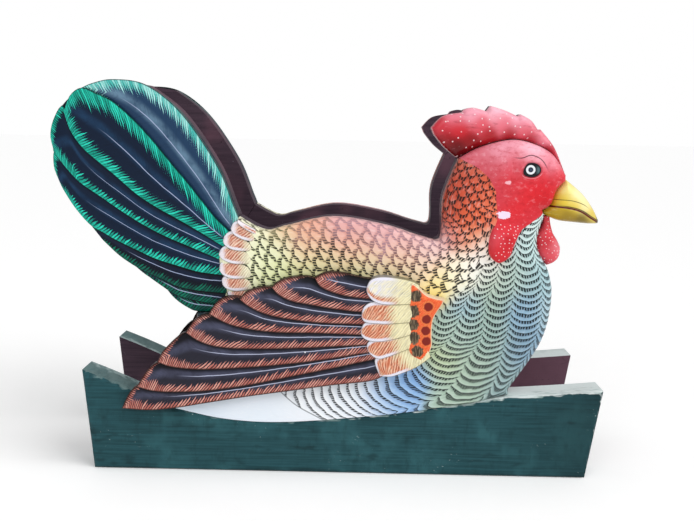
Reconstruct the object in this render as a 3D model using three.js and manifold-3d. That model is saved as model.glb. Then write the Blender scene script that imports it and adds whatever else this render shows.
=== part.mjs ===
// A carved and painted wooden rooster rack: two mirrored rooster sides on green base planks,
// held apart by a floor board and two end boards, so that magazines stand in the bay between them.
// Millimetres. +X runs from tail to beak, +Z is up, and the two sides mirror in the plane y = 0.
// The origin is on the ground, under the middle of the rack.
import * as THREE from "three";
import { mergeVertices } from "three/addons/utils/BufferGeometryUtils.js";
import Module from "manifold-3d";

const wasm = await Module();
wasm.setup();

// ---------------------------------------------------------------- driving dimensions
const bayWidth = 115; // clear space between the two sides
const plank = 37; // thickness of a base plank
const bodyDepth = 38; // body plank, from its flat inner face to its carved front
const tailDepth = 34;
const tongueDepth = 16; // the tail's root, which lies behind the body
const lapLength = 30;
const wingBack = 38.3; // the wing lies on the front of the body and clears the base plank
const wingDepth = 15.7;
const wattleDepth = 10;
const combDepth = 24;
const beakBack = 5;
const beakFront = 30;
const throatWattleInner = 6;
const throatWattleOuter = 24;
const bodyEase = 4; // how far the front edges are eased
const wattleEase = 3;
const thinEase = 2; // of the tail and the wing
const easingSteps = 2;
const splineSteps = 2; // for each point of a smooth stretch
const gap = 0.3; // glue line between two pieces that touch
const tongueOverlap = 8; // how far the tongue runs into the tail plank, which it is one piece with
const tongueBottom = 176;
const tongueTop = 258;
const pegClearance = 0.3;
const pegSides = 12;
const thickPeg = 4; // radii of the pegs
const thinPeg = 3;
const wattlePeg = 2;
const crossPegReach = 14; // into the side and into the board alike
const floorThickness = 14;
const floorUnderside = 8;
const endThickness = 12;
const endTop = 130;
const bayTailEnd = -128; // inner faces of the two end boards
const bayHeadEnd = 160;

const sameSpot = 0.01; // two points of an outline nearer than this are one point
const weldDistance = 0.001;
const farOut = 600; // farther from the origin than any point of the rack

const innerFace = bayWidth / 2;
const floorTop = floorUnderside + floorThickness;

// ---------------------------------------------------------------- finishes
const finishes = {
  greenPaint: [0x1f4a44, 0.62],
  bodyPaint: [0xd8a47c, 0.5],
  tailPaint: [0x12404a, 0.45],
  wingPaint: [0x6b4038, 0.5],
  combPaint: [0xcc1f2a, 0.4],
  beakPaint: [0xe0b52c, 0.4],
  innerPaint: [0x42303a, 0.7],
  bareWood: [0xc9a878, 0.8],
};
const materials = Object.fromEntries(
  Object.entries(finishes).map(([name, [color, roughness]]) => [
    name,
    new THREE.MeshStandardMaterial({ name, color, roughness, metalness: 0 }),
  ]),
);

// ---------------------------------------------------------------- outlines, as [x, z] in stretches
// Each stretch is a smooth curve through its points, and a corner is left where two of them meet.
const bodyBack = [[-97, 273], [-70, 260], [-47, 265], [0, 275], [52, 268], [107, 252]];
const neckBack = [[112, 256], [114, 299], [128, 337]];
const headDome = [[128, 337], [153, 350], [188, 357], [222, 345], [239, 322]];
const beakRoot = [[239, 316], [230, 307], [224, 292], [216, 286]];
const throatAndChest = [[218, 279], [213, 249], [227, 220], [231, 190], [222, 146], [190, 94]];
const bellySeat = [[190, 88], [124, 76.5], [58, 66], [-45, 56], [-110, 58], [-165, 69]];
const rumpEdge = [[-165, 74], [-150, 125], [-140, 172]];
const tailLine = [[-128, 172], [-110, 194], [-117, 232], [-97, 273]];

const tailTop = [[-97.5, 274], [-102, 285], [-119, 326], [-155, 378], [-191, 406]];
const tailTip = [[-224, 411], [-258, 401], [-282, 378], [-289, 350], [-282, 312]];
const tailUnder = [[-273, 295], [-244, 253], [-191, 211], [-141, 173]];

const plankFoot = [[-252, 0], [274, 0]];
const plankHeadEnd = [[274, 0], [289, 96]];
const plankHeadLedge = [[289, 96], [240, 91.5], [190, 88 - gap]];
const plankTailEnd = [[-201, 82], [-235, 97], [-263, 108]];

const wingTips = [[-218, 72], [-200, 96], [-180, 122], [-150, 154], [-125, 174], [-93, 189]];
const wingCrest = [[-60, 202], [-18, 215], [14, 219], [48, 215], [84, 211]];
const shoulder = [[118, 193], [107, 172], [104, 142], [82, 120], [48, 110]];
const wingUnder = [[21, 102], [-83, 85], [-178, 71], [-216, 69]];

const combTop = [
  [[100, 368], [112, 380], [131, 384]],
  [[133, 387], [142, 389], [156, 385.5]],
  [[160, 391], [174, 387], [188, 381]],
  [[191, 383], [202, 377], [209, 368]],
  [[212, 368], [227, 350], [239.6, 323]],
];
const combBack = [[127, 337.4], [114, 348], [103, 361]];

const beakBridge = [[240, 318], [257, 302], [272, 281]];
const beakUnder = [[272, 276], [262, 273.5], [240, 274.5], [219, 280]];

const cheekWattle = [[169, 276], [161, 257], [162, 240], [172, 232], [184, 241], [190, 259], [204, 276]];
const throatWattle = [[226, 274], [235, 250], [232, 234], [223, 230], [216.5, 238]];
const throatWattleBack = [[216.5, 238], [214.5, 249], [220, 272]];

// The pocket in the back of the body, which the tail's tongue lies in, without its right edge.
const pocketOutside = [[-160, 172], [-160, 300], [-66, 300], [-66, 258]];
const pocketFoot = [[-98, 160], [-160, 172]];

// ---------------------------------------------------------------- solids
function shifted(points, right, up) {
  return points.map(([x, z]) => [x + right, z + up]);
}

function closedShape(...stretches) {
  const shape = new THREE.Shape();
  stretches.forEach((points, i) => {
    const [start, ...rest] = points.map(([x, z]) => new THREE.Vector2(x, z));
    if (i === 0) shape.moveTo(start.x, start.y);
    else if (shape.currentPoint.distanceTo(start) > sameSpot) shape.lineTo(start.x, start.y);
    if (rest.length === 1) shape.lineTo(rest[0].x, rest[0].y);
    else if (rest.length) shape.splineThru(rest);
  });
  return shape;
}

// A plank of that outline from `back` to `front`, measured outwards from the flat inner face,
// with its front edge eased by `ease`.
function carvedPlank(shape, back, front, ease = 0) {
  const geometry = new THREE.ExtrudeGeometry(shape, {
    depth: front - back - ease,
    curveSegments: splineSteps,
    bevelEnabled: ease > 0,
    bevelThickness: ease,
    bevelSize: ease,
    bevelOffset: -ease,
    bevelSegments: easingSteps,
  });
  geometry.rotateX(Math.PI / 2); // the outline's y becomes z, and its depth runs towards -y
  geometry.translate(0, -(innerFace + back), 0);
  if (ease === 0) return solidOf(geometry);
  const flatBack = blockSolid([-farOut, -farOut, -farOut], [farOut, -(innerFace + back), farOut]);
  return solidOf(geometry).intersect(flatBack);
}

function solidOf(geometry) {
  const bare = geometry.clone();
  bare.deleteAttribute("normal");
  bare.deleteAttribute("uv");
  const merged = mergeVertices(bare, weldDistance);
  return new wasm.Manifold(
    new wasm.Mesh({
      numProp: 3,
      vertProperties: merged.attributes.position.array,
      triVerts: new Uint32Array(merged.index.array),
    }),
  );
}

function geometryOf(solid) {
  const made = solid.getMesh();
  const geometry = new THREE.BufferGeometry();
  geometry.setAttribute("position", new THREE.BufferAttribute(made.vertProperties, 3));
  geometry.setIndex(new THREE.BufferAttribute(made.triVerts, 1));
  geometry.computeVertexNormals();
  return geometry;
}

function blockGeometry(low, high) {
  const size = high.map((value, i) => value - low[i]);
  const box = new THREE.BoxGeometry(...size);
  return box.translate(...low.map((value, i) => value + size[i] / 2));
}

function blockSolid(low, high) {
  return solidOf(blockGeometry(low, high));
}

// A round peg from one point to another.
function pegGeometry(from, to, radius, extra = 0) {
  const start = new THREE.Vector3(...from);
  const along = new THREE.Vector3(...to).sub(start);
  const length = along.length() + 2 * extra;
  const peg = new THREE.CylinderGeometry(radius, radius, length, pegSides);
  const turn = new THREE.Quaternion().setFromUnitVectors(
    new THREE.Vector3(0, 1, 0),
    along.clone().normalize(),
  );
  peg.applyQuaternion(turn);
  const middle = start.addScaledVector(along, 0.5);
  return peg.translate(middle.x, middle.y, middle.z);
}

const depthToY = (depth) => -(innerFace + depth);

// ---------------------------------------------------------------- one side of the rack, the one at -y
function sideSolids() {
  const body = carvedPlank(
    closedShape(
      bodyBack, neckBack, headDome, beakRoot, throatAndChest, bellySeat, rumpEdge, tailLine,
    ),
    0, bodyDepth, bodyEase,
  );
  // The tail's root is a tongue that runs behind the body's saddle feathers.
  const pocketEdge = shifted(tailLine, lapLength, 0).reverse();
  const lapPocket = carvedPlank(
    closedShape(pocketOutside, pocketEdge, pocketFoot),
    -gap, tongueDepth + gap,
  );
  const tailPlank = carvedPlank(
    closedShape(tailTop, tailTip, tailUnder, shifted(tailLine, -2 * gap, 0)),
    0, tailDepth, thinEase,
  );
  const tongue = carvedPlank(
    closedShape(shifted(tailLine, -tongueOverlap, 0), shifted(pocketEdge, -2 * gap, 0)),
    0, tongueDepth,
  );
  const tongueBand = blockSolid([-farOut, -farOut, tongueBottom], [farOut, farOut, tongueTop]);

  const plankOutline = closedShape(
    plankFoot, plankHeadEnd, plankHeadLedge, shifted(bellySeat, 0, -gap).slice(1), plankTailEnd,
  );
  const wing = closedShape(wingTips, wingCrest, shoulder, wingUnder);
  const comb = closedShape(
    ...combTop,
    shifted(headDome, 0, 2 * gap).reverse(),
    combBack,
  );
  const beak = closedShape(beakBridge, beakUnder, shifted(beakRoot, 2 * gap, 0).reverse());
  const throat = closedShape(throatWattle, throatWattleBack);
  return {
    base_plank: carvedPlank(plankOutline, 0, plank),
    body: body.subtract(lapPocket),
    tail: tailPlank.add(tongue.intersect(tongueBand)),
    wing: carvedPlank(wing, wingBack, wingBack + wingDepth, thinEase),
    comb: carvedPlank(comb, 0, combDepth),
    beak: carvedPlank(beak, beakBack, beakFront),
    cheek_wattle: carvedPlank(
      closedShape(cheekWattle),
      wingBack, wingBack + wattleDepth, wattleEase,
    ),
    throat_wattle: carvedPlank(throat, throatWattleInner, throatWattleOuter, wattleEase)
      .subtract(body.translate([2 * gap, 0, 0])),
  };
}

// Glued pegs of one side: [name, from, to, radius, the two pieces it joins], points as [x, depth, z].
const sidePegs = [
  ["body_peg_1", [-100, 18, 37], [-100, 18, 77], thickPeg, ["base_plank", "body"]],
  ["body_peg_2", [10, 18, 40], [10, 18, 80], thickPeg, ["base_plank", "body"]],
  ["body_peg_3", [120, 18, 56], [120, 18, 96], thickPeg, ["base_plank", "body"]],
  ["tail_peg_1", [-90, 3, 240], [-90, 27, 240], thickPeg, ["tail", "body"]],
  ["tail_peg_2", [-94, 3, 206], [-94, 27, 206], thickPeg, ["tail", "body"]],
  ["wing_peg_1", [-60, 28, 140], [-60, 48, 140], thickPeg, ["body", "wing"]],
  ["wing_peg_2", [50, 28, 160], [50, 48, 160], thickPeg, ["body", "wing"]],
  ["comb_peg_1", [150, 12, 340], [150, 12, 366], thinPeg, ["body", "comb"]],
  ["comb_peg_2", [192, 12, 344], [192, 12, 370], thinPeg, ["body", "comb"]],
  ["beak_peg", [212, 17, 297], [244, 17, 297], thinPeg, ["body", "beak"]],
  ["cheek_wattle_peg", [175, 30, 252], [175, 44, 252], wattlePeg, ["body", "cheek_wattle"]],
  ["throat_wattle_peg", [204, 15, 246], [225, 15, 246], wattlePeg, ["body", "throat_wattle"]],
];

// Pegs that carry the boards between the two sides: [name, x, z, the side's piece, the board].
const crossPegs = [
  ["floor_peg_1", -100, 15, "base_plank", "floor_board"],
  ["floor_peg_2", 16, 15, "base_plank", "floor_board"],
  ["floor_peg_3", 132, 15, "base_plank", "floor_board"],
  ["tail_end_peg_1", bayTailEnd - endThickness / 2, 40, "base_plank", "tail_end_board"],
  ["tail_end_peg_2", bayTailEnd - endThickness / 2, 108, "body", "tail_end_board"],
  ["head_end_peg_1", bayHeadEnd + endThickness / 2, 40, "base_plank", "head_end_board"],
  ["head_end_peg_2", bayHeadEnd + endThickness / 2, 112, "body", "head_end_board"],
];

const pieceFinish = {
  base_plank: "greenPaint",
  body: "bodyPaint",
  tail: "tailPaint",
  wing: "wingPaint",
  comb: "combPaint",
  beak: "beakPaint",
  cheek_wattle: "combPaint",
  throat_wattle: "combPaint",
};

const boardReach = innerFace - gap; // half the length of a board between the sides
const boards = {
  floor_board: blockSolid(
    [bayTailEnd + gap, -boardReach, floorUnderside],
    [bayHeadEnd - gap, boardReach, floorTop],
  ),
  tail_end_board: blockSolid(
    [bayTailEnd - endThickness, -boardReach, floorUnderside],
    [bayTailEnd, boardReach, endTop],
  ),
  head_end_board: blockSolid(
    [bayHeadEnd, -boardReach, floorUnderside],
    [bayHeadEnd + endThickness, boardReach, endTop],
  ),
};

const rack = new THREE.Group();
rack.name = "rooster_rack";

function addMesh(parent, name, geometry, finish) {
  const mesh = new THREE.Mesh(geometry, materials[finish]);
  mesh.name = name;
  parent.add(mesh);
}

// The near side stands at -y. The far side is the same side mirrored in the plane y = 0.
for (const [side, mirror] of [["near", 1], ["far", -1]]) {
  const group = new THREE.Group();
  group.scale.y = mirror;
  const solids = sideSolids();

  for (const [name, from, to, radius, joined] of sidePegs) {
    const [start, end] = [from, to].map(([x, depth, z]) => [x, depthToY(depth), z]);
    addMesh(group, `${side}_${name}`, pegGeometry(start, end, radius), "bareWood");
    const hole = solidOf(pegGeometry(start, end, radius + pegClearance, pegClearance));
    for (const piece of joined) solids[piece] = solids[piece].subtract(hole);
  }
  for (const [name, x, z, piece, board] of crossPegs) {
    const [start, end] = [-crossPegReach, crossPegReach].map((depth) => [x, depthToY(depth), z]);
    addMesh(group, `${side}_${name}`, pegGeometry(start, end, thinPeg), "bareWood");
    const room = pegGeometry(start, end, thinPeg + pegClearance, pegClearance);
    solids[piece] = solids[piece].subtract(solidOf(room));
    const mirrored = solidOf(room).mirror([0, 1, 0]);
    boards[board] = boards[board].subtract(mirror > 0 ? solidOf(room) : mirrored);
  }
  for (const [piece, solid] of Object.entries(solids)) {
    addMesh(group, `${side}_${piece}`, geometryOf(solid), pieceFinish[piece]);
  }
  rack.add(group);
}
for (const [name, solid] of Object.entries(boards)) {
  addMesh(rack, name, geometryOf(solid), "innerPaint");
}

export default rack;
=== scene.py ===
import math

import bmesh
import bpy
import numpy as np
from mathutils import Matrix, Vector
from mathutils.bvhtree import BVHTree
from mathutils.interpolate import poly_3d_calc


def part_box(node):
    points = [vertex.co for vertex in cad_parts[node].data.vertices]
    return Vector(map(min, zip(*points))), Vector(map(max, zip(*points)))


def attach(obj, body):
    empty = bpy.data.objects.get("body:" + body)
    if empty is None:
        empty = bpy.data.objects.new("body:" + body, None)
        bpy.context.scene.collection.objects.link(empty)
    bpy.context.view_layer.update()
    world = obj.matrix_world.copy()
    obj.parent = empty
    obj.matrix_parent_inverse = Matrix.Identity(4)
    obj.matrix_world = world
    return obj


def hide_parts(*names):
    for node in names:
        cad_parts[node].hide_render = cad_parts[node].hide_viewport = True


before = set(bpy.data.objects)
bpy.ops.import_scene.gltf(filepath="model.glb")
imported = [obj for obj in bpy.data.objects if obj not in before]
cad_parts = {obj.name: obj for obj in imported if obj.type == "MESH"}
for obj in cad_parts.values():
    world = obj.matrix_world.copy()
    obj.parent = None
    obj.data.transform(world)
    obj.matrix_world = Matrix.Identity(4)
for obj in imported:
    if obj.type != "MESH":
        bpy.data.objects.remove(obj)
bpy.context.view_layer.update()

mm = 0.001
scene = bpy.context.scene
nearSide = -1  # the near side stands at -y, and its mirror image makes the far side
innerFace = abs(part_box("near_body")[1].y) / mm  # the flat inner face of a side, from the middle
print("frame loaded,", len(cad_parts), "nodes")


# outlines are points in mm as (x, z), as a maker would mark them on the plank

def smoothCurve(points, steps=8):
    spots = [Vector(p) for p in points]
    if len(spots) < 3:
        return [tuple(p) for p in spots]
    made = []
    for i in range(len(spots) - 1):
        start = spots[i]
        end = spots[i + 1]
        leave = (end - spots[max(i - 1, 0)]) / 2
        arrive = (spots[min(i + 2, len(spots) - 1)] - start) / 2
        for k in range(steps):
            t = k / steps
            cubic = 2 * start - 2 * end + leave + arrive
            square = 3 * end - 3 * start - 2 * leave - arrive
            made.append(tuple(cubic * t ** 3 + square * t ** 2 + leave * t + start))
    return made + [tuple(spots[-1])]


def outlineOf(stretches, steps=8, gap=0.4):
    loop = []
    for stretch in stretches:
        for spot in smoothCurve(stretch, steps):
            if not loop or math.dist(loop[-1], spot) > gap:
                loop.append(spot)
    return loop[:-1] if math.dist(loop[0], loop[-1]) <= gap else loop


def resample(points, count):
    line = np.array(points, float)
    run = np.concatenate([[0], np.cumsum(np.linalg.norm(np.diff(line, axis=0), axis=1))])
    at = np.linspace(0, run[-1], count)
    return np.stack([np.interp(at, run, line[:, 0]), np.interp(at, run, line[:, 1])], axis=1), run[-1]


# distance, length along, and side (+ on the left of its run) of many spots from a line
def nearestOn(line, spots):
    line = np.array(line, float)
    best = np.full(len(spots), 1e9)
    along = np.zeros(len(spots))
    side = np.zeros(len(spots))
    run = 0.0
    for start, end in zip(line[:-1], line[1:]):
        step = end - start
        length = np.linalg.norm(step)
        if length < 1e-9:
            continue
        t = np.clip((spots - start) @ step / length ** 2, 0, 1)
        off = spots - (start + t[:, None] * step)
        far = np.linalg.norm(off, axis=1)
        closer = far < best - 1e-9
        best = np.where(closer, far, best)
        along = np.where(closer, run + t * length, along)
        turn = step[0] * (spots[:, 1] - start[1]) - step[1] * (spots[:, 0] - start[0])
        side = np.where(closer, np.sign(turn), side)
        run += length
    return best, along, side


def insideOf(loop, spots):
    loop = np.array(loop, float)
    hit = np.zeros(len(spots), bool)
    for (x0, z0), (x1, z1) in zip(loop, np.roll(loop, -1, axis=0)):
        crosses = (z0 > spots[:, 1]) != (z1 > spots[:, 1])
        at = x0 + (spots[:, 1] - z0) * (x1 - x0) / ((z1 - z0) or 1e-12)
        hit ^= crosses & (spots[:, 0] < at)
    return hit


def edgeDistance(loop, spots):  # + inside the loop
    far = nearestOn(list(loop) + [loop[0]], spots)[0]
    return np.where(insideOf(loop, spots), far, -far)


def softStep(value, low, high):
    t = np.clip((value - low) / (high - low), 0, 1)
    return t * t * (3 - 2 * t)


def roundedDrop(far, radius):  # how far a rounded edge falls back at that distance from the outline
    inner = np.clip(radius - far, 0, radius)
    return radius - np.sqrt(np.maximum(radius ** 2 - inner ** 2, 0))


# (column, row, mm across) of each spot on a sheet that hangs between guide lines. A guide runs from
# the throat to the belly and parts two columns of feathers, and rowsAt counts the rows at its marks
def spreadRows(guides, rowsAt, spots):
    lines = np.array([smoothCurve(guide, 5) for guide in guides])
    count = len(lines) - 1
    steps = lines.shape[1] - 1
    rows = np.interp(np.linspace(0, len(rowsAt) - 1, steps + 1), range(len(rowsAt)), rowsAt)
    gaps = np.linalg.norm(np.diff(lines, axis=0), axis=2)
    across = np.concatenate([np.zeros((1, steps + 1)), np.cumsum(gaps, axis=0)])
    sheet = bmesh.new()
    bmesh.ops.create_grid(sheet, x_segments=count * 4, y_segments=steps, size=0.5)
    flow = sheet.verts.layers.float_vector.new("flow")
    for v in sheet.verts:
        column = (v.co.x + 0.5) * count
        k = round((v.co.y + 0.5) * steps)
        i = min(int(column), count - 1)
        share = column - i
        spot = lines[i, k] * (1 - share) + lines[i + 1, k] * share
        v[flow] = (column, rows[k], across[i, k] * (1 - share) + across[i + 1, k] * share)
        v.co = (spot[0], spot[1], 0)
    tree = BVHTree.FromBMesh(sheet)
    sheet.faces.ensure_lookup_table()
    found = []
    for x, z in spots:
        at, _, index, _ = tree.find_nearest((x, z, 0))
        corners = sheet.faces[index].verts
        weights = poly_3d_calc([v.co for v in corners], at)
        found.append(sum((v[flow] * w for v, w in zip(corners, weights)), Vector()))
    sheet.free()
    return np.array(found).T


class Flow:  # one socket, which Python's operators add Math nodes to
    def __init__(self, paint, socket):
        self.paint = paint
        self.socket = socket

    def maths(self, operation, first, second=None):
        values = [first] if second is None else [first, second]
        return self.paint.node("ShaderNodeMath", {"operation": operation}, values)

    def __add__(self, other):
        return self.maths("ADD", self, other)

    def __radd__(self, other):
        return self.maths("ADD", other, self)

    def __sub__(self, other):
        return self.maths("SUBTRACT", self, other)

    def __rsub__(self, other):
        return self.maths("SUBTRACT", other, self)

    def __mul__(self, other):
        return self.maths("MULTIPLY", self, other)

    def __rmul__(self, other):
        return self.maths("MULTIPLY", other, self)

    def __truediv__(self, other):
        return self.maths("DIVIDE", self, other)

    def __abs__(self):
        return self.maths("ABSOLUTE", self)

    def __pow__(self, other):
        return self.maths("POWER", self, other)

    def fract(self):
        return self.maths("FRACT", self)

    def floor(self):
        return self.maths("FLOOR", self)

    def root(self):
        return self.maths("SQRT", self)

    def least(self, other):
        return self.maths("MINIMUM", self, other)

    def most(self, other):
        return self.maths("MAXIMUM", self, other)


class Paint:  # one material and its nodes
    def __init__(self, name, roughness=0.5, coat=0.0, shine=0.2):
        self.material = bpy.data.materials.new(name)
        self.material.use_nodes = True
        self.tree = self.material.node_tree
        self.shader = self.tree.nodes["Principled BSDF"]
        self.shader.inputs["Roughness"].default_value = roughness
        self.shader.inputs["Coat Weight"].default_value = coat
        self.shader.inputs["Coat Roughness"].default_value = 0.25
        self.shader.inputs["Specular IOR Level"].default_value = shine
        place = self.node("ShaderNodeTexCoord", out="Object")
        self.place = self.scaled(place, 1 / mm)
        self.x, self.y, self.z = self.parts(self.place)

    def node(self, kind, settings=None, values=(), out=0):
        made = self.tree.nodes.new(kind)
        for key, value in (settings or {}).items():
            setattr(made, key, value)
        for key, value in (values.items() if isinstance(values, dict) else enumerate(values)):
            if isinstance(value, Flow):
                self.tree.links.new(value.socket, made.inputs[key])
            else:
                made.inputs[key].default_value = value
        return Flow(self, made.outputs[out])

    def parts(self, vector):
        made = self.node("ShaderNodeSeparateXYZ", values=[vector])
        return [Flow(self, made.socket.node.outputs[i]) for i in range(3)]

    def joined(self, x, y, z=0.0):
        return self.node("ShaderNodeCombineXYZ", values=[x, y, z])

    def scaled(self, vector, size):
        return self.node("ShaderNodeVectorMath", {"operation": "SCALE"}, {0: vector, 3: size})

    def attribute(self, name):
        return self.node("ShaderNodeAttribute", {"attribute_name": name}, out="Vector")

    def tint(self, name):
        return self.node("ShaderNodeAttribute", {"attribute_name": name}, out="Color")

    def number(self, name):
        return self.node("ShaderNodeAttribute", {"attribute_name": name}, out="Fac")

    def spot(self, place, wide, tall):  # 1 at the edge of an oval spot at that (x, z)
        across = (self.x - place[0]) / wide
        along = (self.z - place[1]) / tall
        return (across ** 2.0 + along ** 2.0).root()

    def noise(self, vector, size, detail=3.0, rough=0.55):  # size is a patch's width, in the vector's units
        return self.node("ShaderNodeTexNoise", {"noise_dimensions": "3D"},
                         {"Vector": vector, "Scale": 1.0 / size, "Detail": detail, "Roughness": rough})

    def ramp(self, value, low, high, start=0.0, end=1.0):
        return self.node("ShaderNodeMapRange", {"interpolation_type": "SMOOTHSTEP"},
                         [value, low, high, start, end])

    def mix(self, first, second, mask, how="MIX"):
        tints = [hexTint(c) if isinstance(c, str) else c for c in (first, second)]
        settings = {"data_type": "RGBA", "blend_type": how}
        return self.node("ShaderNodeMix", settings, {0: mask, 6: tints[0], 7: tints[1]}, out=2)

    def bump(self, height, depth, strength=1.0):
        values = {"Height": height, "Distance": depth * mm, "Strength": strength}
        return self.node("ShaderNodeBump", values=values)

    def finish(self, colour=None, roughness=None, normal=None):
        for key, value in (("Base Color", colour), ("Roughness", roughness), ("Normal", normal)):
            if value is not None:
                self.tree.links.new(value.socket, self.shader.inputs[key])
        return self.material


def hexTint(code):
    values = [int(code[i:i + 2], 16) / 255 for i in (1, 3, 5)]
    return tuple(v / 12.92 if v <= 0.04045 else ((v + 0.055) / 1.055) ** 2.4 for v in values) + (1.0,)


# finishes

# four tints: the coat, its streaks, its blotches and a dark tone for knots, brush marks and painted shade.
# wear is how far the edges are rubbed
def brushedPaint(name, tints, wear, wearTint):
    p = Paint(name, 0.55, shine=0.14)
    streaks = p.noise(p.joined(p.x / 90.0, p.z / 2.2, p.y / 2.2), 1.0, 6.0, 0.65)
    blotch = p.noise(p.place, 42.0, 3.0)
    knots = p.noise(p.joined(p.x / 26, p.z / 11, p.y / 11), 1.0, 2.0)
    colour = p.mix(tints[0], tints[1], p.ramp(streaks, 0.3, 0.66))
    colour = p.mix(colour, tints[2], p.ramp(blotch, 0.45, 0.68) * 0.75)
    brush = p.noise(p.joined(p.x / 7, p.z / 22, p.y / 22), 1.0, 4.0, 0.65)
    colour = p.mix(colour, tints[3], p.ramp(brush, 0.5, 0.75) * 0.3)
    colour = p.mix(colour, tints[3], p.ramp(knots, 0.6, 0.8) * 0.55)
    # painted shade: darker towards the bottom and towards the head end
    colour = p.mix(colour, tints[3], p.ramp(p.z + blotch * 14.0, 13.0, 5.0) * 0.6)
    colour = p.mix(colour, tints[3], p.ramp(p.x + blotch * 60.0, 200.0, 330.0) * 0.55)
    # the upward faces turn paler, more so towards the head end: worn paint and a painted highlight where
    # the top faces the light
    upward = p.parts(p.node("ShaderNodeNewGeometry", out="Normal"))[2]
    ledgeWearAndHighlight = p.ramp(upward, 0.5, 0.85) * p.ramp(brush + streaks * 0.5, 0.5, 0.95, 0.5, 1.0)
    colour = p.mix(colour, "#a2b9b5", ledgeWearAndHighlight * p.ramp(p.x, -120.0, 150.0, 0.35, 0.9))
    scuff = p.ramp(p.noise(p.joined(p.x / 4, p.z / 2.6, p.y / 2.6), 1.0, 4.0, 0.7), 0.64, 0.72)
    patch = p.ramp(p.noise(p.place, 46.0, 1.0) + p.ramp(p.x, -190.0, -260.0) * 0.1, 0.52, 0.66)
    edge = p.number("edge")  # mm from the nearest edge of the plank
    rubbed = p.ramp(edge + p.noise(p.place, 7.0, 3.0) * 3.4, 2.7, 1.5)
    colour = p.mix(colour, wearTint, (scuff * patch * wear).most(rubbed * wear))
    # a pale line along the top arrises from the belly to the head end: chipped paint and a painted
    # highlight
    seatArrisChipsAndHighlight = p.ramp(edge + p.noise(p.joined(p.x / 12, p.z / 3, p.y / 3), 1.0, 3.0) * 3.6, 4.0, 2.6)
    colour = p.mix(colour, "#e4eceb", seatArrisChipsAndHighlight * p.ramp(p.x, -70.0, 60.0) * p.ramp(p.z, 48.0, 54.0) * wear)
    height = streaks * 0.5 + blotch * 0.3
    return p.finish(colour, p.ramp(streaks, 0.3, 0.7, 0.47, 0.65), p.bump(height, 0.35, 0.5))


def innerPaint():
    p = Paint("dullMaroonPaint", 0.6, shine=0.15)
    streaks = p.noise(p.joined(p.x / 60, p.z / 3, p.y / 3), 1.0, 5.0, 0.6)
    colour = p.mix("#3a2d38", "#4b3a46", p.ramp(streaks, 0.3, 0.7))
    # random blotches, and painted light that brightens the maroon towards the head end
    blotchAndPaintedLight = p.noise(p.place, 60.0, 2.0) + p.ramp(p.x, 150.0, 260.0) * 0.2
    colour = p.mix(colour, "#634552", p.ramp(blotchAndPaintedLight, 0.45, 0.7))
    scratch = p.ramp(p.noise(p.joined(p.x / 3.4, p.z / 3.4 + p.x / 9, p.y), 1.0, 4.0, 0.7), 0.68, 0.73)
    colour = p.mix(colour, "#8d8798", scratch * 0.55)
    crack = p.ramp(abs(p.noise(p.joined(p.x / 70, p.z / 24, p.y / 24), 1.0, 3.0, 0.6) - 0.5), 0.004, 0.0)
    colour = p.mix(colour, "#140d12", crack * p.ramp(p.noise(p.place, 30.0, 1.0), 0.5, 0.6) * 0.8)
    return p.finish(colour, None, p.bump(streaks - crack * 0.6, 0.4, 0.5))


def bareWood(name, tints):
    p = Paint(name, 0.7)
    rings = p.noise(p.joined(p.x / 40, p.z / 2.5, p.y / 40), 1.0, 4.0, 0.6)
    colour = p.mix(tints[0], tints[1], p.ramp(rings, 0.36, 0.64))
    colour = p.mix(colour, tints[2], p.ramp(p.noise(p.place, 35.0, 3.0), 0.55, 0.75) * 0.5)
    return p.finish(colour, None, p.bump(rings, 0.2, 0.5))


# rows of short strokes along arcs that hang from column to column. wide counts columns, run counts rows and
# acrossMm sets the pitch of the strokes. thick and reach are the line's and the strokes' height in rows,
# span is the arc's half width in columns, and broad is the stroke's half width in pitches
def scaleRows(p, wide, run, acrossMm, bow, pitch, stagger, thick, reach, span, broad, weight):
    ink = None
    glow = None
    for row in ((0, 1) if stagger else (0,)):
        share = 0.5 if stagger else 1.0
        cell = (wide + 0.5 * row).fract() - 0.5
        arc = (run * share + 0.5 * row + cell * cell * (bow * share)).fract() / share
        jitter = p.noise(p.joined(acrossMm / 7, run, row * 5.0), 1.0, 2.0)
        stroke = abs((acrossMm / pitch + row * 0.4 + jitter).fract() - 0.5)
        tooth = p.ramp(stroke, broad + 0.1, broad - 0.06)
        long = reach * (0.7 + jitter * 0.6) * p.ramp(abs(cell), 0.5, 0.3, 0.5, 1.0)
        dash = p.ramp(arc / long, 1.05, 0.8) * tooth
        line = p.ramp(arc, thick, thick * 0.5) * weight
        here = dash.most(line) * p.ramp(abs(cell) + (jitter - 0.5) * 0.12, span, span - 0.08)
        ink = here if ink is None else ink.most(here)
        glow = arc if glow is None else glow.least(arc)
    return ink, glow


faceMarks = {"ear": ((175.5, 281.0), 7.2, 4.4), "rubbed": ((178.5, 314.0), 3.4, 2.0)}  # place, half sizes


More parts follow.
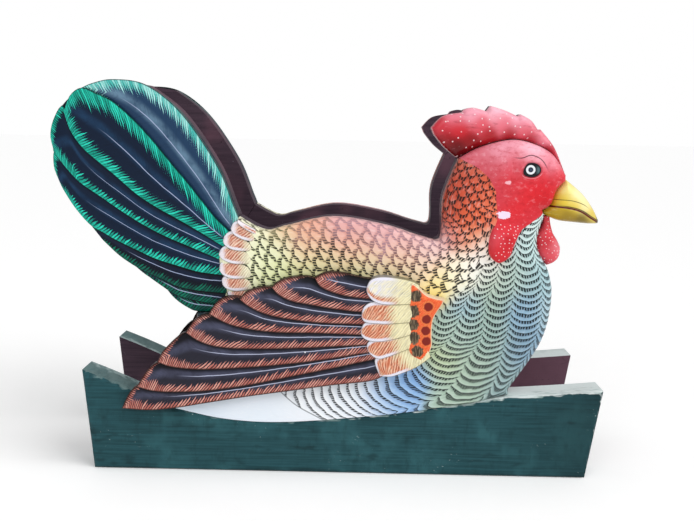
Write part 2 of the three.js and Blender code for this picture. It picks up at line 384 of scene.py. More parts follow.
def featherSkin(marks):
    p = Paint("paintedScales", 0.42, 0.1)
    wobble = p.noise(p.place, 9.0, 2.0) - 0.5
    wobbleB = p.noise(p.scaled(p.place, -1.0), 12.0, 2.0) - 0.5
    tint = p.tint("featherTint")
    inkTint = p.tint("inkTint")
    back = p.parts(p.attribute("backFlow"))
    chest = p.parts(p.attribute("chestFlow"))
    zone = p.parts(p.attribute("zones"))  # mm into the face, mm past the collar, mm into the plain belly
    streak = p.noise(p.joined(back[2] / 1.8, back[1] * 0.6, chest[2] / 4), 1.0, 3.0, 0.6)
    backWide = back[0] + wobble * 0.4
    backRun = back[1] + wobbleB * 1.3
    backInk, backGlow = scaleRows(p, backWide, backRun, back[2], bow=3.8, pitch=2.8, stagger=True,
                                  thick=0.15, reach=0.66, span=0.42, broad=0.33, weight=0.45)
    belly = p.ramp(chest[1], 27.0, 37.0)  # the rows open out here, and the strokes keep their size
    chestWide = chest[0] + wobble * 0.1
    offset = chestWide.floor() * (1 - belly) * 0.45  # each column hangs a little out of step with the last
    chestRun = chest[1] + wobbleB * 0.6 + offset
    chestInk, chestGlow = scaleRows(p, chestWide, chestRun, chest[2], bow=4.2, pitch=2.8, stagger=False,
                                    thick=0.17 - belly * 0.06, reach=0.54 - belly * 0.2, span=0.6,
                                    broad=0.32, weight=0.7)
    pastCollar = p.ramp(zone[1] + wobble * 3.0, -0.4, 0.4)
    plain = p.ramp(zone[2], -0.6, 0.6)
    ink = backInk * (1 - pastCollar) + chestInk * pastCollar * (1 - plain)
    glow = backGlow * (1 - pastCollar) + chestGlow * pastCollar
    # painted light on each scale: lighter towards the next arc, darker beside its own arc line
    lit = p.ramp(glow, 0.35, 1.0) * (1 - plain)
    colour = p.mix(tint, p.mix(tint, "#ffffff", 1.0, "SOFT_LIGHT"), lit * 0.5)
    colour = p.mix(colour, inkTint, p.ramp(glow, 0.62, 0.1) * (1 - plain) * 0.2)
    colour = p.mix(colour, "#ffffff", p.ramp(streak, 0.5, 0.75) * 0.2)
    colour = p.mix(colour, inkTint, ink * p.ramp(zone[0], 2.2, -0.5) * 0.97)
    rim = p.ramp(abs(zone[2]), 0.9, 0.3) * pastCollar
    colour = p.mix(colour, "#6d7478", rim * 0.8)

    face = p.ramp(zone[0] + wobble * 2.0, -0.5, 0.5)
    faceTint = p.tint("faceTint")
    brushed = p.noise(p.joined(p.x / 9, p.z / 4.5, p.y / 6), 1.0, 4.0, 0.62)
    faceTint = p.mix(faceTint, "#b81722", p.ramp(brushed, 0.5, 0.78) * 0.55)
    faceTint = p.mix(faceTint, "#ffc9d6", p.ramp(brushed, 0.42, 0.2) * 0.35)
    mottle = p.noise(p.place, 6.0, 4.0, 0.65)
    faceTint = p.mix(faceTint, "#a80f1b", p.ramp(mottle, 0.5, 0.68) * 0.3)
    faceTint = p.mix(faceTint, "#ffd3dc", p.ramp(mottle, 0.44, 0.3) * 0.16)
    colour = p.mix(colour, faceTint, face)

    brow = p.parts(p.attribute("brow"))
    browLine = p.ramp(abs(brow[0]), 0.75, 0.25) * p.ramp(brow[1], 0.0, 0.25) * p.ramp(brow[1], 1.0, 0.8)
    colour = p.mix(colour, "#3a1420", browLine * 0.85)
    colour = paintEye(p, colour, eyeShape)
    lobe = p.noise(p.place, 3.2, 2.0) - 0.5
    ear = p.spot(*marks["ear"]) + lobe * 0.7
    hairs = p.noise(p.joined(p.x / 6, p.z / 1.1 + p.x / 5, 0.0), 1.0, 2.0) - 0.5
    colour = p.mix(colour, "#efdcf0", p.ramp(ear + hairs * 0.7, 1.0, 0.84))
    rub = p.spot(*marks["rubbed"]) + lobe * 1.6
    colour = p.mix(colour, "#f6c3cc", p.ramp(rub, 1.0, 0.7) * 0.8)
    height = glow * 0.55 - ink * 0.25 + streak * 0.1
    return p.finish(colour, p.ramp(brushed, 0.3, 0.7, 0.36, 0.5), p.bump(height * (1 - face), 0.5, 0.6))


eyeShape = {"ring": (200.5, 327.5), "pupil": 2.6, "white": 4.7,
            "almond": (201.6, 327.2), "wide": 9.9, "tall": 7.7}


def paintEye(p, colour, eye):
    ringX = p.x - eye["ring"][0]
    ringZ = p.z - eye["ring"][1]
    ring = (ringX * ringX + ringZ * ringZ).root()
    u = (p.x - eye["almond"][0]) / eye["wide"]
    v = (p.z - eye["almond"][1]) / eye["tall"]
    corner = p.ramp(u, -0.35, -1.0) * 0.5  # the left corner draws down to a point
    v = v + corner * 0.55
    almond = (u * u + v * v).root() + corner * 0.25
    colour = p.mix(colour, "#7d1420", p.ramp(almond, 1.25, 0.95) * 0.55)
    lid = p.ramp(abs(almond - 1.13), 0.07, 0.02) * p.ramp(v, -0.2, -0.6)
    colour = p.mix(colour, "#f2a9b4", lid * 0.5)
    colour = p.mix(colour, "#0d1117", p.ramp(almond, 1.0, 0.93))
    glint = p.ramp(u, 0.3, 0.75) * p.ramp(almond, 0.9, 0.72)
    glint = glint * p.ramp(v, -0.7, -0.2) * p.ramp(v, 0.75, 0.2)
    colour = p.mix(colour, "#5f7a80", glint * 0.8)
    colour = p.mix(colour, "#e9eef2", p.ramp(ring, eye["white"] + 0.25, eye["white"] - 0.25))
    colour = p.mix(colour, "#20283c", p.ramp(ring, eye["pupil"] + 0.25, eye["pupil"] - 0.25))
    return p.mix(colour, "#4c5a74", p.ramp(ring, 1.3, 0.9) * 0.6)


# feathers carry quill = (mm from the upper edge, mm from the lower edge, mm from the tip) and
# vane = (mm from the shaft, mm along from the root, mm left to the tip)
def quillPaint(name, tints, fringe):
    p = Paint(name, 0.42, 0.06, 0.12)
    upper, lower, tip = p.parts(p.attribute("quill"))
    off, along, length = p.parts(p.attribute("vane"))
    seed = p.number("seed")
    bend = p.noise(p.place, 15.0, 3.0) - 0.5
    barb = (along - abs(off) * fringe["slant"]) / fringe["hatch"] + bend * 1.7 + seed * 7.3
    tooth = abs(barb.fract() - 0.5) * 2.0  # 0 in the middle of a stroke, 1 between two strokes
    pick = p.node("ShaderNodeTexWhiteNoise", {"noise_dimensions": "2D"}, [p.joined(barb.floor(), seed)])
    lane = p.noise(p.joined(barb * 1.6, off / 16, seed), 1.0, 3.0, 0.7)
    nearTip = p.ramp(tip, fringe["tipRun"], 0.0)
    upperReach = upper / (fringe["upper"] + nearTip * fringe["tipGrow"])
    reach = upperReach.least(lower / (fringe["lower"] + nearTip * fringe["tipGrow"]))
    tongue = (0.72 + pick * 0.45) * (1.0 - tooth * fringe["teeth"])
    inFringe = p.ramp(reach - tongue, 0.1, -0.08)
    sheen = p.ramp(abs(off + 2.5), 8.0, 0.5) * p.ramp(bend, -0.4, 0.2)
    body = p.mix(tints["body"], tints["bodyGlow"], sheen * 0.75)
    body = p.mix(body, tints["bodyLow"], p.ramp(lane, 0.5, 0.8) * 0.5)
    fringeTint = p.mix(tints["fringe"], tints["fringeLit"], p.ramp(lane + (pick - 0.5) * 0.3, 0.42, 0.62))
    gap = p.ramp(tooth, 0.38, 0.8) * fringe["gaps"] * p.ramp(reach, -0.2, 0.3)
    fringeTint = p.mix(fringeTint, tints["gap"], gap)
    under = p.ramp(upper, fringe["shade"] + 4.5, fringe["shade"]) * p.ramp(tip, 16.0, 40.0)
    body = p.mix(body, tints["edge"], under * 0.75)  # painted shade, darkest under the feather above
    colour = p.mix(body, fringeTint, inFringe)
    spine = p.ramp(abs(off + bend * 1.2), 0.6, 0.2) * p.ramp(along, 4.0, 12.0)
    spine = spine * p.ramp(tip / (length + along), fringe["shaftEnd"] - 0.03, fringe["shaftEnd"] + 0.12)
    colour = p.mix(colour, tints["shaft"], spine * 0.8)
    edgeShade = p.ramp(lower, fringe["edge"], 0.2).most(p.ramp(upper, fringe["edge"] * 1.6, 0.3))
    colour = p.mix(colour, tints["edge"], edgeShade * 0.9)
    wallTop = innerFace + fringe["wall"]
    wall = p.ramp(abs(p.y), wallTop, wallTop - 1.5)  # painted shade darkens the cut edge
    colour = p.mix(colour, tints["edge"], wall * 0.85)
    dotPlaces = {"Vector": p.joined(p.x, p.z, seed * 50.0), "Scale": 1 / 38.0}
    dots = p.node("ShaderNodeTexVoronoi", values=dotPlaces)
    colour = p.mix(colour, "#ffffff", p.ramp(dots, 0.026, 0.016) * 0.7)
    height = lane * 0.5 - tooth * 0.3 * inFringe
    return p.finish(colour, None, p.bump(height, 0.3, 0.7))


# short feathers: hatched orange tips with a pale rim, cream towards the root
def covertFeathers(name, tints, plan):
    p = Paint(name, 0.42, 0.08)
    upper, lower, tip = p.parts(p.attribute("quill"))
    off, along, length = p.parts(p.attribute("vane"))
    seed = p.number("seed")
    bend = p.noise(p.place, 9.0, 2.0) - 0.5
    fine = p.noise(p.place, 1.7, 2.0) - 0.5
    barb = (along - off * plan["lean"]) / plan["hatch"] + bend * 1.2 + seed * 5.1
    stroke = abs(barb.fract() - 0.5) * 2.0
    lane = p.noise(p.joined(barb * 1.3, off / 9, seed), 1.0, 3.0, 0.7)
    warm = p.ramp(tip + (lane - 0.5) * 20.0 + stroke * 5.0, plan["warmTo"] + 8.0, plan["warmTo"] - 6.0)
    pale = p.ramp(seed, plan["paleBelow"] + 0.2, plan["paleBelow"])
    paleHalf = pale * p.ramp(lower + stroke * 2.0, 6.5, 11.0)  # the first feather's upper half is chalky
    warm = warm * (1 - paleHalf)
    orange = p.mix(tints["warm"], tints["warmLit"], p.ramp(lane, 0.42, 0.68))
    colour = p.mix(p.mix(tints["cream"], tints["creamLow"], p.ramp(lane, 0.4, 0.7)), orange, warm)
    broken = p.ramp(p.noise(p.joined(barb * 0.8, off / 5, seed * 3.0), 1.0, 2.0), 0.4, 0.6)
    hatching = p.ramp(stroke, 0.5, 0.2) * (0.14 + warm * 0.6) * (0.3 + broken * 0.7)
    colour = p.mix(colour, tints["hatch"], hatching)
    colour = p.mix(colour, tints["pale"], p.ramp(stroke, 0.66, 0.95) * (0.2 + broken * 0.35))
    chalk = paleHalf * p.ramp(tip, 52.0, 14.0) * (0.35 + broken * 0.5)
    colour = p.mix(colour, tints["rim"], chalk)
    greyHair = p.ramp(abs((barb * 1.3).fract() - 0.5), 0.2, 0.06) * broken * paleHalf
    colour = p.mix(colour, "#6f7f8c", greyHair * 0.55)
    side = upper.least(lower) + (lane - 0.5) * 2.2 + fine * 1.2
    rimWide = ((upper + lower) * 0.22).least(plan["rim"])
    rim = p.ramp(side - rimWide, 1.1, -0.7) * p.ramp(tip, plan["rimRun"] + 8.0, plan["rimRun"] - 6.0)
    tipEdge = tip + (lane - 0.5) * 9.0 + stroke * 3.0
    rim = rim.most(p.ramp(tipEdge, plan["tipRim"] + 3.0, plan["tipRim"] - 2.0) * 0.85)
    colour = p.mix(colour, tints["rim"], rim)
    hair = p.ramp(abs((barb * 1.9).fract() - 0.5), 0.16, 0.04) * rim * p.ramp(side, 0.2, 1.6)
    colour = p.mix(colour, tints["hair"], hair * 0.45)
    # painted shade along each feather's edges, where it lies on its neighbour
    colour = p.mix(colour, tints["edge"], p.ramp(upper.least(lower), 0.9, 0.15) * 0.75)
    return p.finish(colour, None, p.bump(lane - stroke * 0.3, 0.25, 0.7))


def combRed(name, low, high, pitch, dabWide):  # pitch and width of the pale dabs, in mm
    p = Paint(name, 0.34, 0.15)
    brushed = p.noise(p.joined(p.x / 14, p.z / 5, p.y / 8), 1.0, 4.0, 0.6)
    tint = p.tint("tint")
    colour = p.mix(tint, low, p.ramp(brushed, 0.52, 0.8) * 0.5)
    colour = p.mix(colour, high, p.ramp(brushed, 0.42, 0.2) * 0.3)
    spots = p.node("ShaderNodeTexVoronoi", {"voronoi_dimensions": "2D"},
                   {"Vector": p.joined(p.x + p.y * 0.5, p.z), "Scale": 1 / pitch, "Randomness": 0.8})
    dab = p.ramp(spots, dabWide / pitch, dabWide / pitch * 0.6)
    dab = dab * p.ramp(p.noise(p.place, 15.0, 1.0), 0.36, 0.46)
    colour = p.mix(colour, "#fbd9de", dab * 0.85)
    edge = p.number("edge")
    colour = p.mix(colour, "#f0a9b4", p.ramp(edge + brushed * 1.4, 1.6, 0.8) * 0.25)
    return p.finish(colour, None, p.bump(dab * 0.8 + brushed * 0.3, 0.3, 0.8))


def beakYellow():
    p = Paint("ochreBeakPaint", 0.32, 0.25)
    tint = p.tint("tint")
    grain = p.noise(p.joined(p.x / 12, p.z / 2.6, p.y / 4), 1.0, 4.0, 0.6)
    colour = p.mix(tint, "#f7e9a0", p.ramp(grain, 0.45, 0.2) * 0.4)
    colour = p.mix(colour, "#8f6d12", p.ramp(grain, 0.6, 0.85) * 0.5)
    mouth = p.parts(p.attribute("mouth"))
    upperLine = p.parts(p.attribute("upperLine"))
    colour = p.mix(colour, "#5f160c", p.ramp(abs(mouth[0]), 1.25, 0.6))
    lip = p.ramp(abs(mouth[0] - 1.5), 0.7, 0.2) * p.ramp(mouth[1], 0.1, 0.4)
    colour = p.mix(colour, "#2c2207", lip * 0.9)
    crease = p.ramp(abs(upperLine[0]), 0.6, 0.2) * p.ramp(upperLine[1], 1.0, 0.7)
    colour = p.mix(colour, "#4f4416", crease * 0.85)
    colour = p.mix(colour, "#3b2c0c", p.ramp(p.x, 273.0, 277.0) * 0.8)
    return p.finish(colour, None, p.bump(grain, 0.2, 0.5))


patchSpots = {
    "fans": [(87, 198), (85, 182), (84.5, 168), (86, 154), (90, 140)], "fanWide": 6.4, "fanTall": 6.7,
    "rounds": [(100, 187), (98.5, 174), (98, 162), (99, 151)], "roundSize": 5.0,
}


def shoulderPaint(s):
    p = Paint("orangeShoulderPaint", 0.42, 0.08)
    lane = p.noise(p.joined(p.x / 5 + p.z / 5, (p.z - p.x) / 1.3, 0.0), 1.0, 3.0, 0.6)
    colour = p.mix("#e2552a", "#f07c46", p.ramp(lane, 0.4, 0.65))
    ruffle = p.noise(p.place, 2.6, 2.0) - 0.5
    fan = None
    dot = None
    for place in s["fans"]:
        here = p.spot(place, s["fanWide"], s["fanTall"])
        fan = here if fan is None else fan.least(here)
    for place in s["rounds"]:
        here = p.spot(place, s["roundSize"], s["roundSize"])
        dot = here if dot is None else dot.least(here)
    colour = p.mix(colour, "#7d1f14", p.ramp(dot + ruffle * 0.35, 1.02, 0.8))
    colour = p.mix(colour, "#c98b4a", p.ramp(abs(dot - 1.12), 0.1, 0.02) * 0.6)
    inFan = p.ramp(fan + ruffle * 0.9, 1.05, 0.85)
    rays = p.noise(p.joined(p.x / 1.3, p.z / 8, 0.0), 1.0, 2.0)
    colour = p.mix(colour, p.mix("#3f3427", "#86735a", p.ramp(rays, 0.45, 0.65)), inFan)
    colour = p.mix(colour, "#dfe0c0", p.ramp(p.number("edge"), 1.6, 0.7) * 0.75)
    return p.finish(colour, None, p.bump(lane, 0.2, 0.6))


tealCoat = ["#183b40", "#264f56", "#305e64", "#0e2528"]
nightCoat = ["#0b131d", "#101d2c", "#0b2a2b", "#05090d"]
greens = brushedPaint("brushedTealPaint", tealCoat, 0.8, "#a9bdbd")
deepPlank = brushedPaint("nightTailPaint", nightCoat, 0.2, "#3a5060")
maroon = innerPaint()
scales = featherSkin(faceMarks)
combPaint = combRed("crimsonCombPaint", "#7d070f", "#ff9db0", 8.2, 0.95)
wattlePaint = combRed("crimsonWattlePaint", "#b0121c", "#f58a94", 4.4, 0.72)
beakPaint = beakYellow()
shoulder = shoulderPaint(patchSpots)
boardWood = bareWood("stainedBoardWood", ["#3a2a30", "#4a3640", "#2a2026"])
pegWood = bareWood("paleDowelWood", ["#c49a66", "#dcb888", "#a87c4c"])
# edge is the near-black of the painted shade along and between the feathers
tailTints = {
    "body": "#0a1a30", "bodyLow": "#060d1c", "bodyGlow": "#1c3c5c", "fringe": "#04907c",
    "fringeLit": "#2ad8bc", "gap": "#04151f", "shaft": "#aebbdc", "edge": "#020409",
}
slateTints = dict(tailTints, body="#1f3a58", bodyLow="#14263f", bodyGlow="#6f90a8", fringe="#3fb0a8",
                  fringeLit="#a8e8e2")
deepTints = dict(tailTints, body="#080e1c", bodyLow="#060a14", bodyGlow="#14223c", fringe="#044a40",
                 fringeLit="#08735a")
tailFringe = {  # all in mm but the shares: teeth, gaps and shaftEnd
    "upper": 0.9, "lower": 10.5, "tipRun": 110.0, "tipGrow": 8.0, "hatch": 3.4, "slant": 1.0,
    "edge": 0.9, "shade": 4.6, "wall": 29.6, "teeth": 0.62, "gaps": 0.8, "shaftEnd": 0.3,
}
tailPaint = quillPaint("emeraldTailPaint", tailTints, dict(tailFringe, tipGrow=12.0))
twinFringe = dict(tailFringe, upper=12.5, gaps=0.65, shaftEnd=0.26)
tailTwinPaint = quillPaint("emeraldTwinPaint", tailTints, twinFringe)
slateFringe = dict(tailFringe, upper=12.0, lower=0.7, tipGrow=2.0, gaps=0.35, shaftEnd=0.2)
slatePaint = quillPaint("slateTailPaint", slateTints, slateFringe)
deepTailPaint = quillPaint("deepTailPaint", deepTints, dict(tailFringe, lower=8.5, tipGrow=5.0))
# edge is the near-black of the painted shade along and between the feathers
wingTints = {
    "body": "#262530", "bodyLow": "#121119", "bodyGlow": "#50536a", "fringe": "#b0645a",
    "fringeLit": "#dc9b8d", "gap": "#1e1216", "shaft": "#c3c9e4", "edge": "#040304",
}
wingFringe = {
    "upper": 0.4, "lower": 8.4, "tipRun": 46.0, "tipGrow": 12.5, "hatch": 3.3, "slant": 1.15,
    "edge": 2.4, "shade": 5.2, "wall": 44.2, "teeth": 0.62, "gaps": 0.97, "shaftEnd": 0.2,
}
wingPaint = quillPaint("salmonWingPaint", wingTints, wingFringe)
# edge is the dark olive of the painted shade along the feathers' edges
covertTints = {
    "cream": "#eee6b8", "creamLow": "#c9c19a", "warm": "#cf7450", "warmLit": "#eec0a0",
    "hatch": "#74382c", "pale": "#f6efd8", "rim": "#eceaf6", "hair": "#8d86a0", "edge": "#4a4420",
}
covertPlan = {"lean": 0.9, "hatch": 3.3, "warmTo": 37.0, "rim": 3.2, "rimRun": 34.0, "tipRim": 4.5,
              "paleBelow": 0.4}  # only the first feather's seed is below that
covertPaint = covertFeathers("creamCovertPaint", covertTints, covertPlan)
# edge is the dark olive of the painted shade along the feathers' edges
saddleTints = {
    "cream": "#e4e2c0", "creamLow": "#c9c0a2", "warm": "#c47a60", "warmLit": "#ecc4ac",
    "hatch": "#7c4034", "pale": "#f8f0e2", "rim": "#eeebf4", "hair": "#8a8094", "edge": "#4c4426",
}
saddlePlan = {"lean": 0.9, "hatch": 3.0, "warmTo": 29.0, "rim": 3.0, "rimRun": 26.0, "tipRim": 11.0,
              "paleBelow": -1.0}
saddlePaint = covertFeathers("creamSaddlePaint", saddleTints, saddlePlan)
print("finishes mixed")


# meshes

def toWorld(x, depth, z):
    return Vector((x * mm, nearSide * (innerFace + depth) * mm, z * mm))


def newPiece(name, bm, materials, sharpFrom=42):
    mesh = bpy.data.meshes.new(name)
    bm.to_mesh(mesh)
    bm.free()
    piece = bpy.data.objects.new(name, mesh)
    scene.collection.objects.link(piece)
    for material in materials:
        mesh.materials.append(material)
    for polygon in mesh.polygons:
        polygon.use_smooth = True
    mesh.set_sharp_from_angle(angle=math.radians(sharpFrom))
    return piece


def placesOf(piece):
    flat = np.zeros(len(piece.data.vertices) * 3)
    piece.data.vertices.foreach_get("co", flat)
    return flat.reshape(-1, 3)


def spotsOf(piece):
    return placesOf(piece)[:, [0, 2]] / mm


def depthsOf(piece):
    return nearSide * placesOf(piece)[:, 1] / mm - innerFace


# mm from the nearest arris of a plank, for worn edges
def arrisDistance(piece, loop, thick):
    depths = depthsOf(piece)
    return np.maximum(edgeDistance(loop, spotsOf(piece)), np.minimum(depths, thick - depths))


def giveNumbers(piece, name, values):
    made = piece.data.attributes.new(name, "FLOAT", "POINT")
    made.data.foreach_set("value", np.asarray(values, np.float32))


def giveVectors(piece, name, *columns):
    made = piece.data.attributes.new(name, "FLOAT_VECTOR", "POINT")
    made.data.foreach_set("vector", np.stack(columns, axis=1).astype(np.float32).ravel())


def giveTints(piece, name, tints):
    made = piece.data.attributes.new(name, "FLOAT_COLOR", "POINT")
    full = np.concatenate([tints, np.ones((len(tints), 1))], axis=1)
    made.data.foreach_set("color", full.astype(np.float32).ravel())


# a soft blend of dabs of colour: each is ((x, z), reach, tint)
def blendDabs(spots, dabs, soft=0.6):
    total = np.zeros((len(spots), 3))
    weight = np.full(len(spots), 1e-12)
    for (x, z), reach, tint in dabs:
        away = (spots[:, 0] - x) ** 2 + (spots[:, 1] - z) ** 2
        pull = np.exp(-away / (2 * (reach * soft) ** 2)) + 1e-9
        total += pull[:, None] * np.array(hexTint(tint)[:3])
        weight += pull
    return total / weight[:, None]


# a plank cut to that outline. Its front follows depthOf(spots, mm from the outline), and its back is flat.
# rim gives the rings round the edge, as shares of what is left of its height. The edge below the first
# ring takes rimPaint, and cells nearer than fineNear mm to the outline are halved
def carvedPlank(name, outline, cell, depthOf, back, materials, innerMaroon=True, rim=(0.3,), fineNear=0.0,
                rimPaint=1):
    loop = outline if signedArea(outline) > 0 else outline[::-1]
    bm = bmesh.new()
    corners = [bm.verts.new((x, 0, z)) for x, z in loop]
    bm.faces.new(corners)
    for axis in (0, 2):
        low = min(v.co[axis] for v in bm.verts)
        high = max(v.co[axis] for v in bm.verts)
        for cut in np.arange(low + cell * 0.61, high, cell):
            at = Vector()
            at[axis] = cut
            normal = Vector()
            normal[axis] = 1.0
            whole = bm.verts[:] + bm.edges[:] + bm.faces[:]
            bmesh.ops.bisect_plane(bm, geom=whole, dist=1e-5, plane_co=at, plane_no=normal)
    if fineNear:
        spots = np.array([(v.co.x, v.co.z) for v in bm.verts])
        far = np.abs(edgeDistance(loop, spots))
        bm.verts.index_update()
        longEdges = [e for e in bm.edges if e.calc_length() > cell * 0.6]
        close = [e for e in longEdges if max(far[v.index] for v in e.verts) < fineNear]
        bmesh.ops.subdivide_edges(bm, edges=close, cuts=1, use_grid_fill=True)
    bmesh.ops.recalc_face_normals(bm, faces=bm.faces)
    if sum(f.normal.y * f.calc_area() for f in bm.faces) > 0:
        bmesh.ops.reverse_faces(bm, faces=bm.faces)
    bm.verts.index_update()
    spots = np.array([(v.co.x, v.co.z) for v in bm.verts])
    far = np.maximum(edgeDistance(loop, spots), 0)
    depths = depthOf(spots, far)
    border = [e for e in bm.edges if e.is_boundary]
    for v in bm.verts:
        v.co = toWorld(v.co.x, depths[v.index], v.co.z)
    for i, share in enumerate(list(rim) + [1.0]):
        made = bmesh.ops.extrude_edge_only(bm, edges=border)["geom"]
        if i and innerMaroon:
            for face in [f for f in made if isinstance(f, bmesh.types.BMFace)]:
                face.material_index = rimPaint
        border = [e for e in made if isinstance(e, bmesh.types.BMEdge) and e.is_boundary]
        for v in [v for v in made if isinstance(v, bmesh.types.BMVert)]:
            top = nearSide * v.co.y / mm - innerFace
            v.co.y = nearSide * (innerFace + (top + (back - top) * share)) * mm
    for face in closeBack(bm, border):
        face.material_index = 1 if innerMaroon else 0
    return newPiece(name, bm, materials), loop


def closeBack(bm, border):
    made = bmesh.ops.contextual_create(bm, geom=border)["faces"]
    for face in made:
        face.normal_update()
        if face.normal.y < 0:
            face.normal_flip()
    return made


def signedArea(loop):
    return sum(a[0] * b[1] - b[0] * a[1] for a, b in zip(loop, loop[1:] + loop[:1])) / 2


featherEase = {"tipFrom": 0.86, "tipDrop": 1.6, "edgeFrom": 0.82, "edgeDrop": 0.7, "rootTo": 0.4}


# adds one closed feather between two edges that run from root to tip. depths are at its upper and its
# lower edge, and shaftAt is the share of its width where the shaft runs
def addFeather(bm, upper, lower, depths, back, seed, shaftAt=0.5, rows=44, across=10, bulge=1.2,
               rootSink=0.0):
    top, topLength = resample(smoothCurve(upper), rows + 1)
    low, lowLength = resample(smoothCurve(lower), rows + 1)
    length = (topLength + lowLength) / 2
    before = set(bm.verts)
    bmesh.ops.create_grid(bm, x_segments=across, y_segments=rows, size=0.5)
    sheet = [v for v in bm.verts if v not in before]
    faces = {f for v in sheet for f in v.link_faces}
    ease = featherEase
    quillLayer = bm.verts.layers.float_vector["quill"]
    vaneLayer = bm.verts.layers.float_vector["vane"]
    seedLayer = bm.verts.layers.float["seed"]
    for v in sheet:
        s = v.co.x + 0.5
        t = v.co.y + 0.5
        k = t * rows
        i = min(int(k + 1e-6), rows - 1)
        a = top[i] + (top[i + 1] - top[i]) * (k - i)
        b = low[i] + (low[i + 1] - low[i]) * (k - i)
        spot = a + (b - a) * s
        wide = float(np.linalg.norm(b - a))
        rise = depths[0] + (depths[1] - depths[0]) * s + bulge * math.sin(math.pi * s)
        nearTip = max(0.0, t - ease["tipFrom"]) / (1 - ease["tipFrom"])
        nearEdge = max(0.0, s - ease["edgeFrom"]) / (1 - ease["edgeFrom"])
        nearRoot = 1 - min(t / ease["rootTo"], 1.0)
        drop = ease["tipDrop"] * nearTip ** 2 + ease["edgeDrop"] * nearEdge ** 2 + rootSink * nearRoot ** 2
        v.co = toWorld(spot[0], rise - drop, spot[1])
        v[quillLayer] = (wide * s, wide * (1 - s), (1 - t) * length)
        v[vaneLayer] = (wide * (s - shaftAt), t * length, (1 - t) * length)
        v[seedLayer] = seed
    bm.normal_update()
    if sum(f.normal.y for f in faces) > 0:
        bmesh.ops.reverse_faces(bm, faces=list(faces))
    border = list({e for v in sheet for e in v.link_edges if e.is_boundary})
    made = bmesh.ops.extrude_edge_only(bm, edges=border)["geom"]
    for v in [v for v in made if isinstance(v, bmesh.types.BMVert)]:
        v.co.y = nearSide * (innerFace + back) * mm
    hem = [e for e in made if isinstance(e, bmesh.types.BMEdge) and e.is_boundary]
    closeBack(bm, hem)


def featherPiece(name, feathers, material):
    bm = bmesh.new()
    bm.verts.layers.float_vector.new("quill")
    bm.verts.layers.float_vector.new("vane")
    bm.verts.layers.float.new("seed")
    for i, feather in enumerate(feathers):
        addFeather(bm, seed=0.37 + i * 0.61, **feather)
    bmesh.ops.remove_doubles(bm, verts=bm.verts, dist=1e-6)
    return newPiece(name, bm, [material])


sidePieces = []  # (piece, record slot, CAD nodes that it stands for)


def keep(piece, slotName, *nodes):
    sidePieces.append((piece, slotName, nodes))
    print("made", piece.name, len(piece.data.polygons), "faces")
    return piece


# base plank

basePlank = {
    "foot": [(-252, 0), (274, 0)], "headEnd": [(274, 0), (289, 96)],
    "headLedge": [(289, 96), (240, 91.5), (190, 87.7)],
    "seat": [(124, 76.2), (58, 65.7), (-45, 55.7), (-110, 57.7), (-165, 68.7)],
    "tailEnd": [(-201, 82), (-235, 97), (-263, 108)], "thick": 37.0, "ease": 2.6, "cell": 6.0,
}


def makeBasePlank(s):
    outline = outlineOf([s["foot"], s["headEnd"], s["headLedge"], s["seat"], s["tailEnd"]], 10)

    def front(spots, far):  # hand planed, so never quite flat
        planed = 0.5 * np.sin(spots[:, 0] / 37) * softStep(far, 2, 20)
        return s["thick"] - roundedDrop(far, s["ease"]) - planed

    piece, loop = carvedPlank("nearBasePlank", outline, s["cell"], front, 0.0, [greens, maroon],
                              fineNear=7.0, rimPaint=0)
    edge = arrisDistance(piece, loop, s["thick"])
    topLine = outlineOf([s["headLedge"], s["seat"], s["tailEnd"]], 6)
    onTop = nearestOn(topLine, spotsOf(piece))[0] < 0.6
    worn = np.where(spotsOf(piece)[:, 0] > 120, 1.0, 2.2)  # the ledge at the head end is rubbed paler
    giveNumbers(piece, "edge", np.where(onTop, np.minimum(edge, worn), edge))
    keep(piece, "green_paint", "near_base_plank")


makeBasePlank(basePlank)

# body

